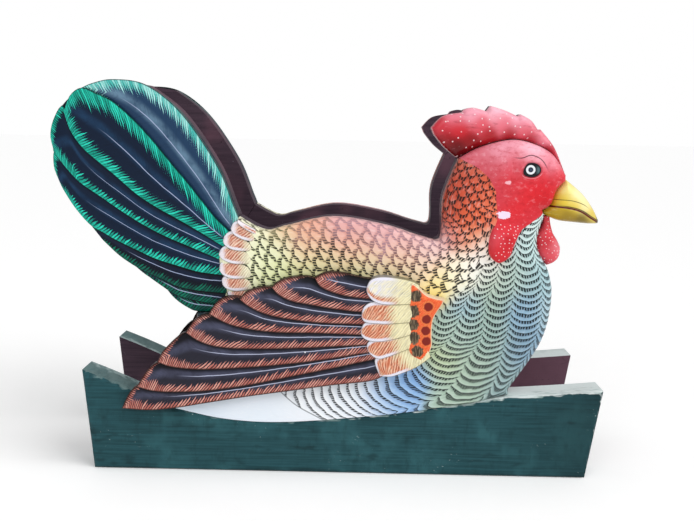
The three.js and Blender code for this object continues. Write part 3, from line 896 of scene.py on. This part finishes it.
bodyShape = {
    "back": [(-97, 273), (-70, 260), (-47, 265), (0, 275), (52, 268), (88, 257.5), (107, 252.6)],
    "neck": [(107, 252.6), (110.8, 253.8), (112.6, 258), (113.2, 268), (114, 299), (128, 337)],
    "dome": [(128, 337), (153, 350), (188, 357), (222, 345), (239, 322)],
    "beakRoot": [(239, 316), (230, 307), (224, 292), (216, 286)],
    "chest": [(218, 279), (213, 249), (227, 220), (231, 190), (222, 146), (190, 94)],
    "seat": [(190, 88), (124, 76.5), (58, 66), (-45, 56), (-110, 58), (-165, 69)],
    "rump": [(-165, 74), (-150, 125), (-140, 172)],
    "tailLine": [(-128, 172), (-110, 194), (-117, 232), (-97, 273)],
    "depth": 38.0, "cell": 2.0, "backRound": 7.0, "chestRound": 17.0, "domeRound": 15.0,
    "valley": [(112, 252), (135, 236), (158, 234)], "socket": (202, 327),
    "edgeColumn": 26,  # mm to a column round the edge
    "neckFlow": [(186, 372), (160, 330), (143, 295), (136, 262), (112, 238), (70, 231), (20, 236),
                 (-30, 236), (-110, 238)],
    # guides between the columns of breast feathers, and the rows counted at their marks
    "chestGuides": [[(238, 300), (228, 262), (234, 240), (240, 216), (244, 192), (244, 170), (241, 148),
                     (229, 120), (214, 98), (192, 72), (140, 48), (90, 34), (30, 26), (-50, 24)],
                    [(223, 290), (213, 263), (212, 240), (218, 215), (220, 192), (220, 170), (215, 149),
                     (207, 127), (196, 107), (180, 84), (112, 58), (62, 46), (10, 40), (-50, 34)],
                    [(205, 282), (190, 262), (190, 238), (189, 214), (188, 192), (186, 169), (183, 150),
                     (179, 131), (174, 108), (158, 83), (96, 65), (50, 54), (2, 46), (-50, 40)],
                    [(186, 276), (174, 258), (172, 236), (171, 214), (162, 193), (159, 170), (157, 150),
                     (147, 133), (133, 106), (115, 86), (74, 70), (32, 60), (-8, 52), (-52, 46)],
                    [(166, 272), (155, 254), (152, 233), (152, 213), (141, 192), (133, 170), (125, 150),
                     (109, 135), (92, 122), (76, 113), (40, 107), (0, 100), (-40, 93), (-80, 86)],
                    [(146, 268), (138, 248), (135, 228), (133, 208), (123, 191), (108, 170), (103, 153),
                     (98, 140), (86, 128), (72, 121), (36, 117), (-4, 112), (-44, 106), (-84, 100)]],
    "chestRows": [0, 4.4, 7.9, 11.2, 14.5, 17.8, 20.8, 23.8, 27.1, 30.4, 34.7, 39.1, 43.5, 47.9],
    # mm along the back, column width, row pitch and how far the rows lean
    "backPlan": [(0, 12.5, 5.2, 0.0), (120, 13.5, 5.5, 0.0), (170, 17.0, 6.2, 0.2),
                 (220, 20.0, 6.4, 0.4), (400, 21.0, 6.2, 0.4)],
    "face": [(120, 342), (148, 328), (160, 317), (166.5, 305), (168, 290), (169, 276), (163, 259),
             (190, 259), (192, 263), (199, 270), (214, 281), (222, 290), (260, 300), (260, 370),
             (120, 370)],
    "collar": [(220, 300), (178, 240), (160, 233), (155, 221), (140, 203), (122, 195), (60, 190),
               (-60, 150), (-260, 140)],
    "plainBelly": [(-59, 96), (-37, 76), (-14, 63), (0, 56)],
    "brow": [(180, 340), (191, 339), (200, 342), (208, 340), (214, 335), (219, 326)],
}

# dabs of colour: (x, z), reach in mm, tint
# the pale pink dab at (84, 252) is partly a painted sheen on the rounded back, and the near-black dab at
# (-150, 140) is painted shade for the dark inside seen between wing and tail
featherDabs = [
    ((-90, 266), 14, "#ddd9ba"), ((-60, 247), 18, "#d8dcae"), ((-92, 225), 20, "#dfe0b6"),
    ((-60, 215), 18, "#cdd496"), ((-20, 221), 18, "#c6cb8c"), ((30, 221), 18, "#c8c68a"),
    ((65, 219), 16, "#d3c48e"), ((-50, 263), 14, "#d49a78"), ((-24, 266), 16, "#d98f7a"),
    ((10, 270), 16, "#cf9496"), ((48, 264), 18, "#cf989e"), ((84, 252), 18, "#dba0a2"),
    ((106, 244), 14, "#dab2b2"), ((-22, 243), 18, "#dcab8c"), ((12, 246), 18, "#df9a84"),
    ((44, 245), 18, "#e19e90"), ((78, 236), 18, "#e6ae98"), ((102, 228), 14, "#e8c2a6"),
    ((0, 229), 12, "#d2c695"), ((44, 228), 12, "#d8c09a"), ((84, 222), 12, "#e2cda2"),
    ((112, 212), 14, "#f2dc90"), ((132, 212), 14, "#f3ebc8"), ((152, 226), 15, "#fdfbf4"),
    ((132, 228), 12, "#f0dfc2"), ((110, 200), 10, "#eecf6a"), ((162, 244), 12, "#f7eedd"),
    ((126, 308), 16, "#a03826"), ((150, 306), 16, "#c64e32"), ((142, 330), 14, "#b0503e"),
    ((118, 280), 12, "#9c3a26"), ((143, 276), 16, "#c84e2c"), ((161, 288), 13, "#d66446"),
    ((124, 255), 12, "#c4685a"), ((145, 252), 13, "#de8660"), ((206, 272), 16, "#c6dad6"),
    ((205, 245), 16, "#aecbca"), ((216, 215), 16, "#93b4bb"), ((188, 217), 16, "#a3bab0"),
    ((163, 213), 14, "#a6b8a4"), ((226, 182), 14, "#9ab5be"), ((200, 180), 16, "#789cb8"),
    ((168, 188), 16, "#92aa9c"), ((140, 188), 14, "#8aacba"), ((128, 160), 16, "#9ab2a6"),
    ((166, 150), 18, "#8ca69e"), ((202, 142), 18, "#7795aa"), ((150, 120), 18, "#9ab09e"),
    ((115, 124), 14, "#aabb96"), ((186, 106), 16, "#86a0a2"), ((122, 92), 14, "#9cb4a2"),
    ((88, 104), 14, "#78a0d4"), ((70, 88), 14, "#86acda"), ((52, 84), 14, "#adc6e6"),
    ((20, 82), 20, "#e4ebf4"), ((-20, 74), 24, "#ecf0f6"), ((-80, 68), 30, "#e6eef7"),
    ((-150, 80), 30, "#dbe6f2"), ((-150, 140), 22, "#1c2a30"),
]
# the pale pinkish inks along the top of the back are partly a painted sheen, where the rounded edge faces
# the light
inkDabs = [
    ((-90, 225), 30, "#14180c"), ((0, 224), 26, "#12140a"), ((100, 215), 26, "#15150f"),
    ((-20, 270), 18, "#a07a70"), ((20, 274), 20, "#a9828c"), ((50, 268), 20, "#ab848e"),
    ((90, 254), 20, "#b08a94"), ((-60, 264), 14, "#6c6a4a"), ((30, 250), 14, "#8a645c"),
    ((80, 240), 13, "#7a5248"), ((130, 300), 30, "#26110b"), ((150, 240), 20, "#1a150e"),
    ((200, 230), 50, "#081318"), ((180, 140), 60, "#0a1518"), ((20, 80), 50, "#0b1014"),
    ((-70, 240), 14, "#1e2214"),
]
# the pale pink dabs on top of the dome are a painted highlight
faceDabs = [
    ((202, 351), 14, "#f6b6c6"), ((172, 350), 14, "#ee9fb0"), ((150, 341), 13, "#d26a78"),
    ((224, 338), 12, "#e88494"), ((184, 333), 13, "#d84e5c"), ((158, 325), 13, "#cb4c58"),
    ((205, 318), 12, "#dc303c"), ((232, 318), 11, "#d8323e"), ((182, 310), 13, "#d43640"),
    ((206, 300), 14, "#dc1c26"), ((228, 300), 12, "#cb1722"), ((172, 300), 12, "#ce3e4a"),
    ((186, 288), 13, "#dc2630"), ((208, 283), 12, "#d4323e"), ((216, 290), 9, "#b4101a"),
    ((176, 270), 12, "#db2e3a"), ((196, 268), 11, "#d22c38"),
]


def makeBody(s):
    edges = ("back", "neck", "dome", "beakRoot", "chest", "seat", "rump", "tailLine")
    outline = outlineOf([s[k] for k in edges], 10)

    def front(spots, far):
        x = spots[:, 0]
        z = spots[:, 1]
        towardsChest = softStep(x, 90, 190) * softStep(z, 310, 250)
        towardsDome = softStep(x, 120, 160) * softStep(z, 290, 320)
        radius = s["backRound"] + (s["chestRound"] - s["backRound"]) * towardsChest
        radius = radius + (s["domeRound"] - radius) * towardsDome
        onSeat = softStep(nearestOn(smoothCurve(s["seat"], 6), spots)[0], 9, 3) * softStep(x, 190, 150)
        depth = s["depth"] - roundedDrop(far, radius) * (0.82 - 0.72 * onSeat)
        valley = nearestOn(s["valley"], spots)[0]  # a shallow dip where the neck meets the breast
        depth = depth - 1.6 * np.exp(-(valley / 9) ** 2) * softStep(far, 1, 8)
        socket = np.hypot((x - s["socket"][0]) / 16, (z - s["socket"][1]) / 13)
        depth = depth + 1.3 * np.exp(-socket ** 2 * 2.2)  # the eye stands up a little,
        return depth - 0.9 * np.exp(-((socket - 1.15) / 0.3) ** 2)  # with a groove round it

    piece, loop = carvedPlank("nearBody", outline, s["cell"], front, 0.0, [scales, maroon],
                              rim=(0.35, 0.7), fineNear=6.0)
    spots = spotsOf(piece)
    wrap = np.maximum(s["depth"] - depthsOf(piece), 0)
    giveTints(piece, "featherTint", blendDabs(spots, featherDabs, 0.8))
    giveTints(piece, "inkTint", blendDabs(spots, inkDabs, 0.6))
    giveTints(piece, "faceTint", blendDabs(spots, faceDabs, 0.7))
    far, along, side = nearestOn(smoothCurve(s["neckFlow"], 12), spots)
    at, wide, row, lean = np.array(s["backPlan"]).T
    marks = np.arange(0, 460, 2.0)
    counted = np.cumsum(2.0 / np.interp(marks, at, row))
    reach = (far + wrap) * side  # the paint carries on round the edge
    tilt = reach * np.interp(along, at, lean) / np.interp(along, at, row)
    run = np.interp(along, marks, counted) + tilt
    giveVectors(piece, "backFlow", reach / np.interp(along, at, wide), run, reach)
    column, run, across = spreadRows(s["chestGuides"], s["chestRows"], spots)
    giveVectors(piece, "chestFlow", column - wrap / s["edgeColumn"], run, across - wrap)
    collarFar, _, collarSide = nearestOn(smoothCurve(s["collar"], 8), spots)
    plainFar, _, plainSide = nearestOn(smoothCurve(s["plainBelly"], 8), spots)
    giveVectors(piece, "zones", edgeDistance(s["face"], spots), collarFar * collarSide,
                -plainFar * plainSide)
    browLine = smoothCurve(s["brow"], 6)
    browFar, browAlong, browSide = nearestOn(browLine, spots)
    giveVectors(piece, "brow", browFar * browSide, browAlong / browAlong.max(), np.zeros(len(spots)))
    keep(piece, "body_paint", "near_body")


makeBody(bodyShape)

# tail

tailShape = {
    "top": [(-97.5, 274), (-102, 285), (-119, 326), (-155, 378), (-191, 406)],
    "tip": [(-224, 411), (-258, 401), (-282, 378), (-289, 350), (-282, 312)],
    "under": [(-273, 295), (-244, 253), (-191, 211), (-141, 173)],
    "root": [(-128.6, 172), (-110.6, 194), (-117.6, 232), (-97.6, 273)], "depth": 30.5, "cell": 5.0,
    "ease": 2.0,
}
slateFeather = [
    (-97.5, 274), (-102, 285), (-119, 326), (-155, 378), (-191, 406), (-224, 411), (-245, 407),
    (-257, 402),
]
slateUnder = [
    (-110, 260), (-123, 273), (-146, 302), (-167, 327), (-186, 350), (-205, 370), (-225, 387),
    (-242, 396), (-257, 402),
]
tailFeathers = {
    "slate": [dict(upper=slateFeather, lower=slateUnder, depths=(32.5, 31.6), shaftAt=0.66)],
    "twin": [dict(upper=[(-110, 262), (-123, 275), (-146, 304), (-167, 329), (-186, 352), (-205, 372),
                         (-225, 389), (-242, 397), (-256, 402), (-268, 394), (-275, 378)],
                  lower=[(-119, 246), (-137, 257), (-160, 270), (-182, 282), (-202, 295), (-224, 314),
                         (-240, 327), (-256, 341), (-268, 358), (-275, 378)],
                  depths=(34.2, 35.6), shaftAt=0.52)],
    "green": [dict(upper=[(-117, 251), (-137, 262), (-160, 274), (-182, 286), (-202, 299), (-224, 318),
                          (-240, 331), (-256, 345), (-268, 362), (-276, 384), (-286, 370), (-290, 353),
                          (-287, 338)],
                   lower=[(-118, 229), (-149, 242), (-171, 251), (-193, 262), (-216, 276), (-238, 291),
                          (-260, 306), (-275, 322), (-287, 338)],
                   depths=(32.0, 35.0), shaftAt=0.5),
              dict(upper=[(-117, 234), (-149, 246), (-171, 255), (-193, 266), (-216, 280), (-238, 295),
                          (-260, 310), (-275, 326), (-286, 339), (-287, 320), (-280, 303)],
                   lower=[(-112, 212), (-138, 215), (-160, 221), (-183, 228), (-205, 238), (-224, 247),
                          (-238, 255), (-250, 262), (-262, 275), (-272, 289), (-280, 303)],
                   depths=(31.8, 34.8), shaftAt=0.46)],
    "deep": [dict(upper=[(-112, 217), (-138, 219), (-160, 225), (-183, 232), (-205, 242), (-224, 251),
                         (-238, 259), (-249, 261), (-246, 256), (-240, 249)],
                  lower=[(-112, 193), (-138, 195), (-160, 199), (-175, 206), (-192, 213), (-208, 222),
                         (-221, 231), (-233, 242), (-240, 249)],
                  depths=(31.5, 34.6), shaftAt=0.45),
             dict(upper=[(-112, 197), (-138, 199), (-160, 203), (-175, 210), (-192, 217), (-208, 223),
                         (-204, 219), (-199, 215)],
                  lower=[(-118, 180), (-149, 186), (-164, 191), (-175, 198), (-185, 205), (-192, 210),
                         (-199, 215)],
                  depths=(31.3, 34.2), shaftAt=0.5),
             dict(upper=[(-118, 185), (-149, 190), (-164, 195), (-174, 199), (-171, 194), (-167, 190)],
                  lower=[(-126, 173), (-142, 173.5), (-152, 178), (-161, 184), (-167, 190)],
                  depths=(31.0, 33.6))],
}


def rooted(line, more=8.0):  # carries a feather's edge on under the saddle
    start = Vector(line[0])
    return [tuple(start + (start - Vector(line[1])).normalized() * more)] + line


def makeTail(s):
    outline = outlineOf([s["top"], s["tip"], s["under"], s["root"]], 10)

    def front(spots, far):
        return s["depth"] - roundedDrop(far, s["ease"])

    piece, loop = carvedPlank("nearTailPlank", outline, s["cell"], front, 0.0, [deepPlank, maroon])
    giveNumbers(piece, "edge", np.maximum(edgeDistance(loop, spotsOf(piece)), 0))
    keep(piece, "tail_paint", "near_tail")
    for kind, paint in (("slate", slatePaint), ("twin", tailTwinPaint), ("green", tailPaint),
                        ("deep", deepTailPaint)):
        rows = [dict(f, upper=rooted(f["upper"]), lower=rooted(f["lower"]), back=s["depth"] - 2.0,
                     rows=60, across=12) for f in tailFeathers[kind]]
        keep(featherPiece(f"near{kind.capitalize()}TailFeathers", rows, paint), "tail_paint", "near_tail")


makeTail(tailShape)

# wing

wingDepths = {"low": 47.0, "high": 51.0, "back": 38.4, "covertLow": 51.6, "covertHigh": 54.0,
              "patch": 54.6, "patchRound": 3.5, "patchCell": 2.0}
wingFeathers = [
    dict(upper=[(56, 214), (39, 214), (27, 216), (13, 219), (-3, 220), (-17, 214)],
         lower=[(56, 193), (39, 193), (19, 195), (2, 199), (-11, 205), (-17, 214)]),
    dict(upper=[(56, 199), (19, 200), (0, 205), (-12, 210), (-21, 214.5), (-30, 215), (-45, 213),
                (-56, 208), (-61, 203)],
         lower=[(56, 179), (32, 179), (2, 182), (-23, 186), (-40, 189), (-53, 195), (-61, 203)]),
    dict(upper=[(56, 184), (31, 183), (2, 186), (-23, 190), (-45, 196), (-60, 203), (-76, 202),
                (-88, 197), (-94, 190)],
         lower=[(56, 166), (31, 166), (-12, 167), (-49, 171), (-70, 176), (-85, 183), (-94, 190)]),
    dict(upper=[(56, 170), (31, 170), (-12, 171), (-49, 175), (-72, 181), (-90, 191), (-108, 192),
                (-119, 185), (-126, 174)],
         lower=[(56, 155), (31, 155), (-12, 156), (-56, 156), (-85, 159), (-106, 164), (-126, 174)]),
    dict(upper=[(56, 159), (31, 159), (-12, 160), (-56, 160), (-90, 164), (-114, 172), (-128, 173),
                (-140, 168), (-150, 154)],
         lower=[(56, 145), (31, 144), (-27, 140), (-77, 138), (-114, 139), (-136, 145), (-150, 154)]),
    dict(upper=[(56, 150), (31, 148), (-27, 144), (-77, 142), (-112, 143), (-136, 149), (-150, 154),
                (-163, 145), (-175, 132), (-180, 122)],
         lower=[(56, 138), (32, 135), (-12, 127), (-56, 121), (-99, 117), (-136, 115), (-165, 117),
                (-180, 122)]),
    dict(upper=[(56, 142), (36, 139), (-12, 131), (-56, 125), (-99, 121), (-140, 119), (-170, 121),
                (-180, 121.5), (-191, 112), (-202, 95)],
         lower=[(56, 131), (40, 128), (3, 119), (-41, 109), (-85, 99), (-129, 92), (-165, 90),
                (-187, 91), (-202, 95)]),
    dict(upper=[(56, 135), (41, 132), (3, 123), (-41, 113), (-85, 103), (-129, 96), (-165, 94),
                (-188, 95), (-203, 95), (-212, 84), (-218, 71)],
         lower=[(56, 112), (41, 106), (3, 101), (-41, 94), (-85, 87), (-129, 79), (-158, 73.5),
                (-188, 70), (-218, 71)]),
]
coverts = [
    dict(upper=[(90, 209), (82, 213), (65, 216), (50, 216.5), (41, 213.5), (37, 207), (36.5, 203)],
         lower=[(90, 189), (83, 189), (63, 188), (50, 189), (42, 193), (37.5, 199), (36.5, 203)]),
    dict(upper=[(90, 192), (83, 192), (63, 191), (50, 191), (41, 190), (35, 186), (32.5, 181),
                (32, 176)],
         lower=[(90, 170), (84, 170), (62, 168), (48, 168), (37, 169), (33, 172), (32, 176)]),
    dict(upper=[(90, 173), (84, 173), (62, 171), (48, 171), (37, 169.5), (33, 165), (31.5, 160)],
         lower=[(90, 158), (83, 157), (74, 154), (57, 150), (46, 149), (37, 151), (32.5, 155),
                (31.5, 160)]),
    dict(upper=[(90, 162), (84, 160), (67, 155), (57, 153), (46, 152), (40, 149), (38, 145), (39, 140)],
         lower=[(90, 144), (84, 143), (67, 136), (53, 131), (47, 132), (42, 135.5), (39, 140)]),
    dict(upper=[(96, 152), (84, 146), (67, 139), (53, 134), (47, 131), (47, 125), (49.5, 118),
                (52, 112.5)],
         lower=[(104, 134), (97, 128), (88, 122), (77, 117), (64, 112.5), (52, 112.5)]),
]
shoulderOutline = [
    [(82, 212), (90, 206), (100, 198), (117, 194)],
    [(117, 194), (113, 187), (107.5, 178), (105, 170), (104.5, 157), (105, 146), (101, 135), (94, 128)],
    [(94, 128), (84, 134), (80, 144), (81, 156), (79, 169), (81, 182), (79, 196), (82, 212)],
]


def makeWing(s):
    rows = [dict(f, depths=(s["low"], s["high"]), back=s["back"], shaftAt=0.42) for f in wingFeathers]
    keep(featherPiece("nearWingQuills", rows, wingPaint), "wing_paint", "near_wing")
    rows = [dict(f, depths=(s["covertLow"], s["covertHigh"]), back=s["back"], shaftAt=0.45,
                 rows=26, bulge=1.4) for f in coverts]
    keep(featherPiece("nearWingCoverts", rows, covertPaint), "wing_paint", "near_wing")

    def front(spots, far):
        return s["patch"] - roundedDrop(far, s["patchRound"])

    piece, loop = carvedPlank("nearShoulderPatch", outlineOf(shoulderOutline, 8), s["patchCell"], front,
                              s["back"], [shoulder], innerMaroon=False)
    giveNumbers(piece, "edge", np.maximum(edgeDistance(loop, spotsOf(piece)), 0))
    keep(piece, "wing_paint", "near_wing")


makeWing(wingDepths)

# saddle feathers, over the root of the tail

saddleFeathers = [
    dict(upper=[(-75, 257.5), (-79, 261.3), (-84, 264), (-91, 267.8), (-97, 271.5)],
         lower=[(-75, 254), (-84, 258.5), (-92, 263), (-97.3, 267.6), (-97, 271.5)]),
    dict(upper=[(-75, 257), (-84, 263), (-91, 267), (-97, 270), (-102, 267.5), (-104.5, 262)],
         lower=[(-75, 250), (-84, 249), (-93, 251), (-101, 255.5), (-104.5, 262)]),
    dict(upper=[(-77, 253), (-91, 254), (-100, 259), (-106, 258.5), (-111, 254), (-112.5, 249)],
         lower=[(-77, 239.5), (-91, 238.5), (-103, 240), (-110, 244), (-112.5, 249)]),
    dict(upper=[(-77, 243), (-91, 243), (-103, 244), (-110, 244), (-115, 240), (-117, 235)],
         lower=[(-77, 226), (-90, 225), (-103, 225.5), (-113, 229.5), (-117, 235)]),
    dict(upper=[(-77, 230), (-90, 229), (-103, 230), (-111, 229), (-115.5, 225), (-116.5, 219)],
         lower=[(-77, 213), (-87, 210.5), (-102, 209.5), (-112, 213), (-116.5, 219)]),
    dict(upper=[(-77, 216), (-90, 214), (-103, 213), (-111, 212), (-114, 207.5), (-113, 203)],
         lower=[(-77, 200), (-87, 198), (-99, 196.5), (-108, 198.5), (-113, 203)]),
    dict(upper=[(-77, 204), (-90, 201), (-100, 200), (-106, 198), (-108, 193.5), (-105.5, 188)],
         lower=[(-78, 186), (-86, 184), (-97, 184), (-105.5, 188)]),
]


def makeSaddle():
    rows = [dict(f, depths=(36.8, 39.6), back=33.0, shaftAt=0.4, rows=22, bulge=0.9, rootSink=4.0)
            for f in saddleFeathers]
    keep(featherPiece("nearSaddleFeathers", rows, saddlePaint), "body_paint", "near_body")


makeSaddle()

# comb, beak and wattles

combShape = {
    "lobes": [[(100, 368), (112, 380), (131, 384)], [(133, 387), (142, 389), (156, 385.5)],
              [(160, 391), (174, 387), (188, 381)], [(191, 383), (202, 377), (209, 368)],
              [(212, 368), (227, 350), (239.6, 323)]],
    "foot": [(239, 322.6), (222, 345.6), (188, 357.6), (153, 350.6), (128, 337.6)],
    "behind": [(127, 337.4), (114, 348), (103, 361)], "depth": 24.0, "round": 8.0, "cell": 1.6,
    "swell": 3.0, "footDip": 1.2, "footWide": 5,
}
# the pale dabs along the top of the lobes are a painted highlight, and the dark ones along the foot are
# painted shade
combDabs = [
    ((106, 368), 12, "#cc3442"), ((124, 382), 11, "#e88496"), ((140, 384), 11, "#f4a6b8"),
    ((166, 386), 12, "#fab8c8"), ((190, 378), 11, "#f6acbe"), ((214, 362), 11, "#e88292"),
    ((232, 338), 9, "#dc5e6e"), ((128, 368), 11, "#ca202c"), ((150, 372), 10, "#de5260"),
    ((172, 374), 10, "#e56a7a"), ((192, 368), 9, "#da505e"), ((112, 354), 11, "#8c0810"),
    ((126, 348), 10, "#5e040a"), ((140, 355), 9, "#8d0b14"), ((158, 362), 8, "#a8141e"),
    ((180, 364), 7, "#a8121c"), ((203, 358), 7, "#b41e2a"), ((222, 346), 7, "#b83240"),
]


def makeComb(s):
    outline = outlineOf(s["lobes"] + [s["foot"], s["behind"]], 8)

    def front(spots, far):
        sunk = nearestOn(smoothCurve(s["foot"], 8), spots)[0]
        top = s["depth"] + s["swell"] - roundedDrop(np.minimum(far, sunk * 4), s["round"]) * 0.8
        return top - s["footDip"] * np.exp(-(sunk / s["footWide"]) ** 2)

    piece, loop = carvedPlank("nearComb", outline, s["cell"], front, 0.0, [combPaint, maroon], rim=(0.4,))
    spots = spotsOf(piece)
    giveTints(piece, "tint", blendDabs(spots, combDabs))
    giveNumbers(piece, "edge", np.maximum(edgeDistance(loop, spots), 0))
    keep(piece, "red_paint", "near_comb")


makeComb(combShape)

beakShape = {
    "bridge": [(240, 318), (259, 303), (271, 288), (278, 275)],
    "under": [(278, 271.8), (268, 271.4), (250, 273), (234, 275), (219, 281)],
    "root": [(216.6, 286), (224.6, 292), (230.6, 307), (239.6, 316)],
    "mouth": [(222, 290), (241, 288.6), (256, 285), (268, 278), (278, 272.6)],
    "upperLine": [(229, 297), (246, 296), (259, 292), (268, 286)],
    "cell": 1.2, "ridge": 30.0, "round": 13.0, "tipAt": 278, "faceAt": 236, "tipDrop": 5,
    "mouthDepth": 1.1, "mouthWide": 1.1, "back": 6.0,
}
# the pale dabs on the bridge are partly a painted highlight
beakDabs = [
    ((240, 310), 10, "#efe08a"), ((256, 300), 10, "#f3ecb4"), ((250, 292), 8, "#e6c83e"),
    ((236, 298), 8, "#e0c23a"), ((268, 282), 7, "#dcc45c"), ((230, 284), 8, "#b4941c"),
    ((245, 281), 8, "#9c7f16"), ((260, 277), 7, "#7d6712"), ((262, 290), 7, "#f2e4a0"),
]


def makeBeak(s):
    outline = outlineOf([s["bridge"], s["under"], s["root"]], 8)

    def front(spots, far):
        fromFace = softStep(spots[:, 0], s["tipAt"], s["faceAt"])
        depth = s["ridge"] - roundedDrop(np.minimum(far, s["round"]), s["round"]) * 0.9
        depth = depth - s["tipDrop"] * (1 - fromFace)
        groove = nearestOn(smoothCurve(s["mouth"], 6), spots)[0]
        return depth - s["mouthDepth"] * np.exp(-(groove / s["mouthWide"]) ** 2)

    piece, loop = carvedPlank("nearBeak", outline, s["cell"], front, s["back"], [beakPaint, maroon])
    spots = spotsOf(piece)
    giveTints(piece, "tint", blendDabs(spots, beakDabs))
    for name in ("mouth", "upperLine"):
        far, along, side = nearestOn(smoothCurve(s[name], 6), spots)
        giveVectors(piece, name, far * side, along / along.max(), np.zeros(len(spots)))
    keep(piece, "beak_paint", "near_beak")


makeBeak(beakShape)

wattles = {
    "cheek": {"outline": [[(169, 278), (162, 259), (161.5, 242), (167, 234), (174, 231.5), (183, 238),
                           (187.5, 250), (193, 263), (205, 277)],
                          [(205, 277), (169, 278)]],
              "top": 45.5, "back": 37.0, "fade": (254, 277), "faded": 37.2, "round": 7.5,
              "node": "near_cheek_wattle", "cell": 1.3,
              "dabs": [((176, 270), 10, "#db2e3a"), ((172, 244), 10, "#d0222c"),
                       ((182, 250), 9, "#c81a26"), ((168, 256), 9, "#d84450"),
                       ((196, 272), 9, "#d22c38")]},
    "throat": {"outline": [[(226.5, 279), (227.5, 272), (231, 261), (236, 253), (239.3, 245),
                            (238, 235.5), (232.5, 229.5), (226, 227)],
                           [(226, 227), (219, 233), (213, 241), (212, 256), (218, 266), (220.5, 273),
                            (220.5, 279)],
                           [(220.5, 279), (226.5, 279)]],
               "top": 23.0, "back": 7.0, "fade": (262, 276), "faded": 19.0, "round": 8.0,
               "node": "near_throat_wattle", "cell": 1.3,
               "dabs": [((228, 262), 10, "#e0444f"), ((229, 240), 10, "#dc4a56"),
                        ((236, 246), 8, "#e27e88"), ((222, 250), 8, "#c42a36")]},
}


def makeWattle(name, s):
    def front(spots, far):
        hang = softStep(spots[:, 1], s["fade"][1], s["fade"][0])
        rise = s["faded"] + (s["top"] - s["faded"]) * hang
        return rise - roundedDrop(far, s["round"]) * (0.25 + 0.6 * hang)

    outline = outlineOf(s["outline"], 8)
    piece, loop = carvedPlank(f"near{name.capitalize()}Wattle", outline, s["cell"], front, s["back"],
                              [wattlePaint], innerMaroon=False, rim=(0.5,))
    spots = spotsOf(piece)
    giveTints(piece, "tint", blendDabs(spots, s["dabs"]))
    giveNumbers(piece, "edge", np.maximum(edgeDistance(loop, spots), 0) + 2.0)
    keep(piece, "red_paint", s["node"])


for wattle, settings in wattles.items():
    makeWattle(wattle, settings)

# the far side is the mirror image of the near one

def mirrored(piece, name):
    bm = bmesh.new()
    bm.from_mesh(piece.data)
    bmesh.ops.scale(bm, vec=(1, -1, 1), verts=bm.verts)
    bmesh.ops.reverse_faces(bm, faces=bm.faces)
    return newPiece(name, bm, list(piece.data.materials))


for piece, slotName, nodes in list(sidePieces):
    twin = mirrored(piece, piece.name.replace("near", "far"))
    for each, side in ((piece, "near"), (twin, "far")):
        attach(each, "root")
        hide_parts(*[node.replace("near", side) for node in nodes])
print("far side mirrored")

# boards and pegs keep their CAD shapes

for name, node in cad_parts.items():
    if "peg" in name or "board" in name:
        for slot in node.material_slots:
            slot.material = pegWood if "peg" in name else boardWood

# floor, light and camera

def makeFloor(glow):
    bm = bmesh.new()
    bmesh.ops.create_grid(bm, x_segments=8, y_segments=8, size=20.0)
    p = Paint("palePaperFloor", 0.9)
    p.shader.inputs["Specular IOR Level"].default_value = 0.1
    p.shader.inputs["Emission Color"].default_value = (1, 1, 1, 1)
    p.shader.inputs["Emission Strength"].default_value = glow
    grain = p.noise(p.place, 30.0, 2.0)
    floor = newPiece("floor", bm, [p.finish(p.mix("#fafafa", "#fdfdfd", grain))])


lightPlan = {"ambient": 0.52, "floorGlow": 0.11, "softbox": ((-0.5, -1.6, 1.3), 1.1, 6.0),
             "sun": ((0.8, -0.42, 1.0), 50.0, 1.85)}  # place in metres, size or angle, power
cameraPlan = {"place": (0.026, -1.0145, 0.3699), "yaw": 0.6315, "pitch": 8.605, "roll": 0.996,
              "lens": 46.69, "sensor": 36.0}


def makeLight(name, kind, place, size, power):
    lamp = bpy.data.lights.new(name, kind)
    lamp.energy = power
    if kind == "AREA":
        lamp.shape = "DISK"
        lamp.size = size
    else:
        lamp.angle = math.radians(size)
    made = bpy.data.objects.new(name, lamp)
    made.location = place
    made.rotation_euler = (Vector((0, 0, 0.2)) - made.location).to_track_quat("-Z", "Y").to_euler()
    scene.collection.objects.link(made)


def makeWorld(ambient):
    world = bpy.data.worlds.new("softRoom")
    world.use_nodes = True
    nodes = world.node_tree.nodes
    links = world.node_tree.links
    seen = nodes.new("ShaderNodeLightPath")
    mix = nodes.new("ShaderNodeMix")
    mix.data_type = "FLOAT"
    mix.inputs[2].default_value = ambient
    mix.inputs[3].default_value = 1.0
    links.new(seen.outputs["Is Camera Ray"], mix.inputs[0])
    links.new(mix.outputs[0], nodes["Background"].inputs["Strength"])
    nodes["Background"].inputs["Color"].default_value = (1, 1, 1, 1)
    scene.world = world


def makeCamera(plan):
    data = bpy.data.cameras.new("camera")
    data.sensor_width = plan["sensor"]
    data.lens = plan["lens"]
    made = bpy.data.objects.new("camera", data)
    yaw, pitch, roll = (math.radians(plan[k]) for k in ("yaw", "pitch", "roll"))
    ahead = math.cos(pitch)
    forward = Vector((-math.sin(yaw) * ahead, math.cos(yaw) * ahead, -math.sin(pitch)))
    level = Vector((math.cos(yaw), math.sin(yaw), 0))
    upright = level.cross(forward)
    right = level * math.cos(roll) + upright * math.sin(roll)
    up = upright * math.cos(roll) - level * math.sin(roll)
    turn = Matrix((right, up, -forward)).transposed().to_4x4()
    made.matrix_world = Matrix.Translation(plan["place"]) @ turn
    scene.collection.objects.link(made)
    scene.camera = made


makeFloor(lightPlan["floorGlow"])
makeWorld(lightPlan["ambient"])
makeLight("softbox", "AREA", *lightPlan["softbox"])
makeLight("sun", "SUN", *lightPlan["sun"])
makeCamera(cameraPlan)
scene.view_settings.view_transform = "Standard"
print("stage set")
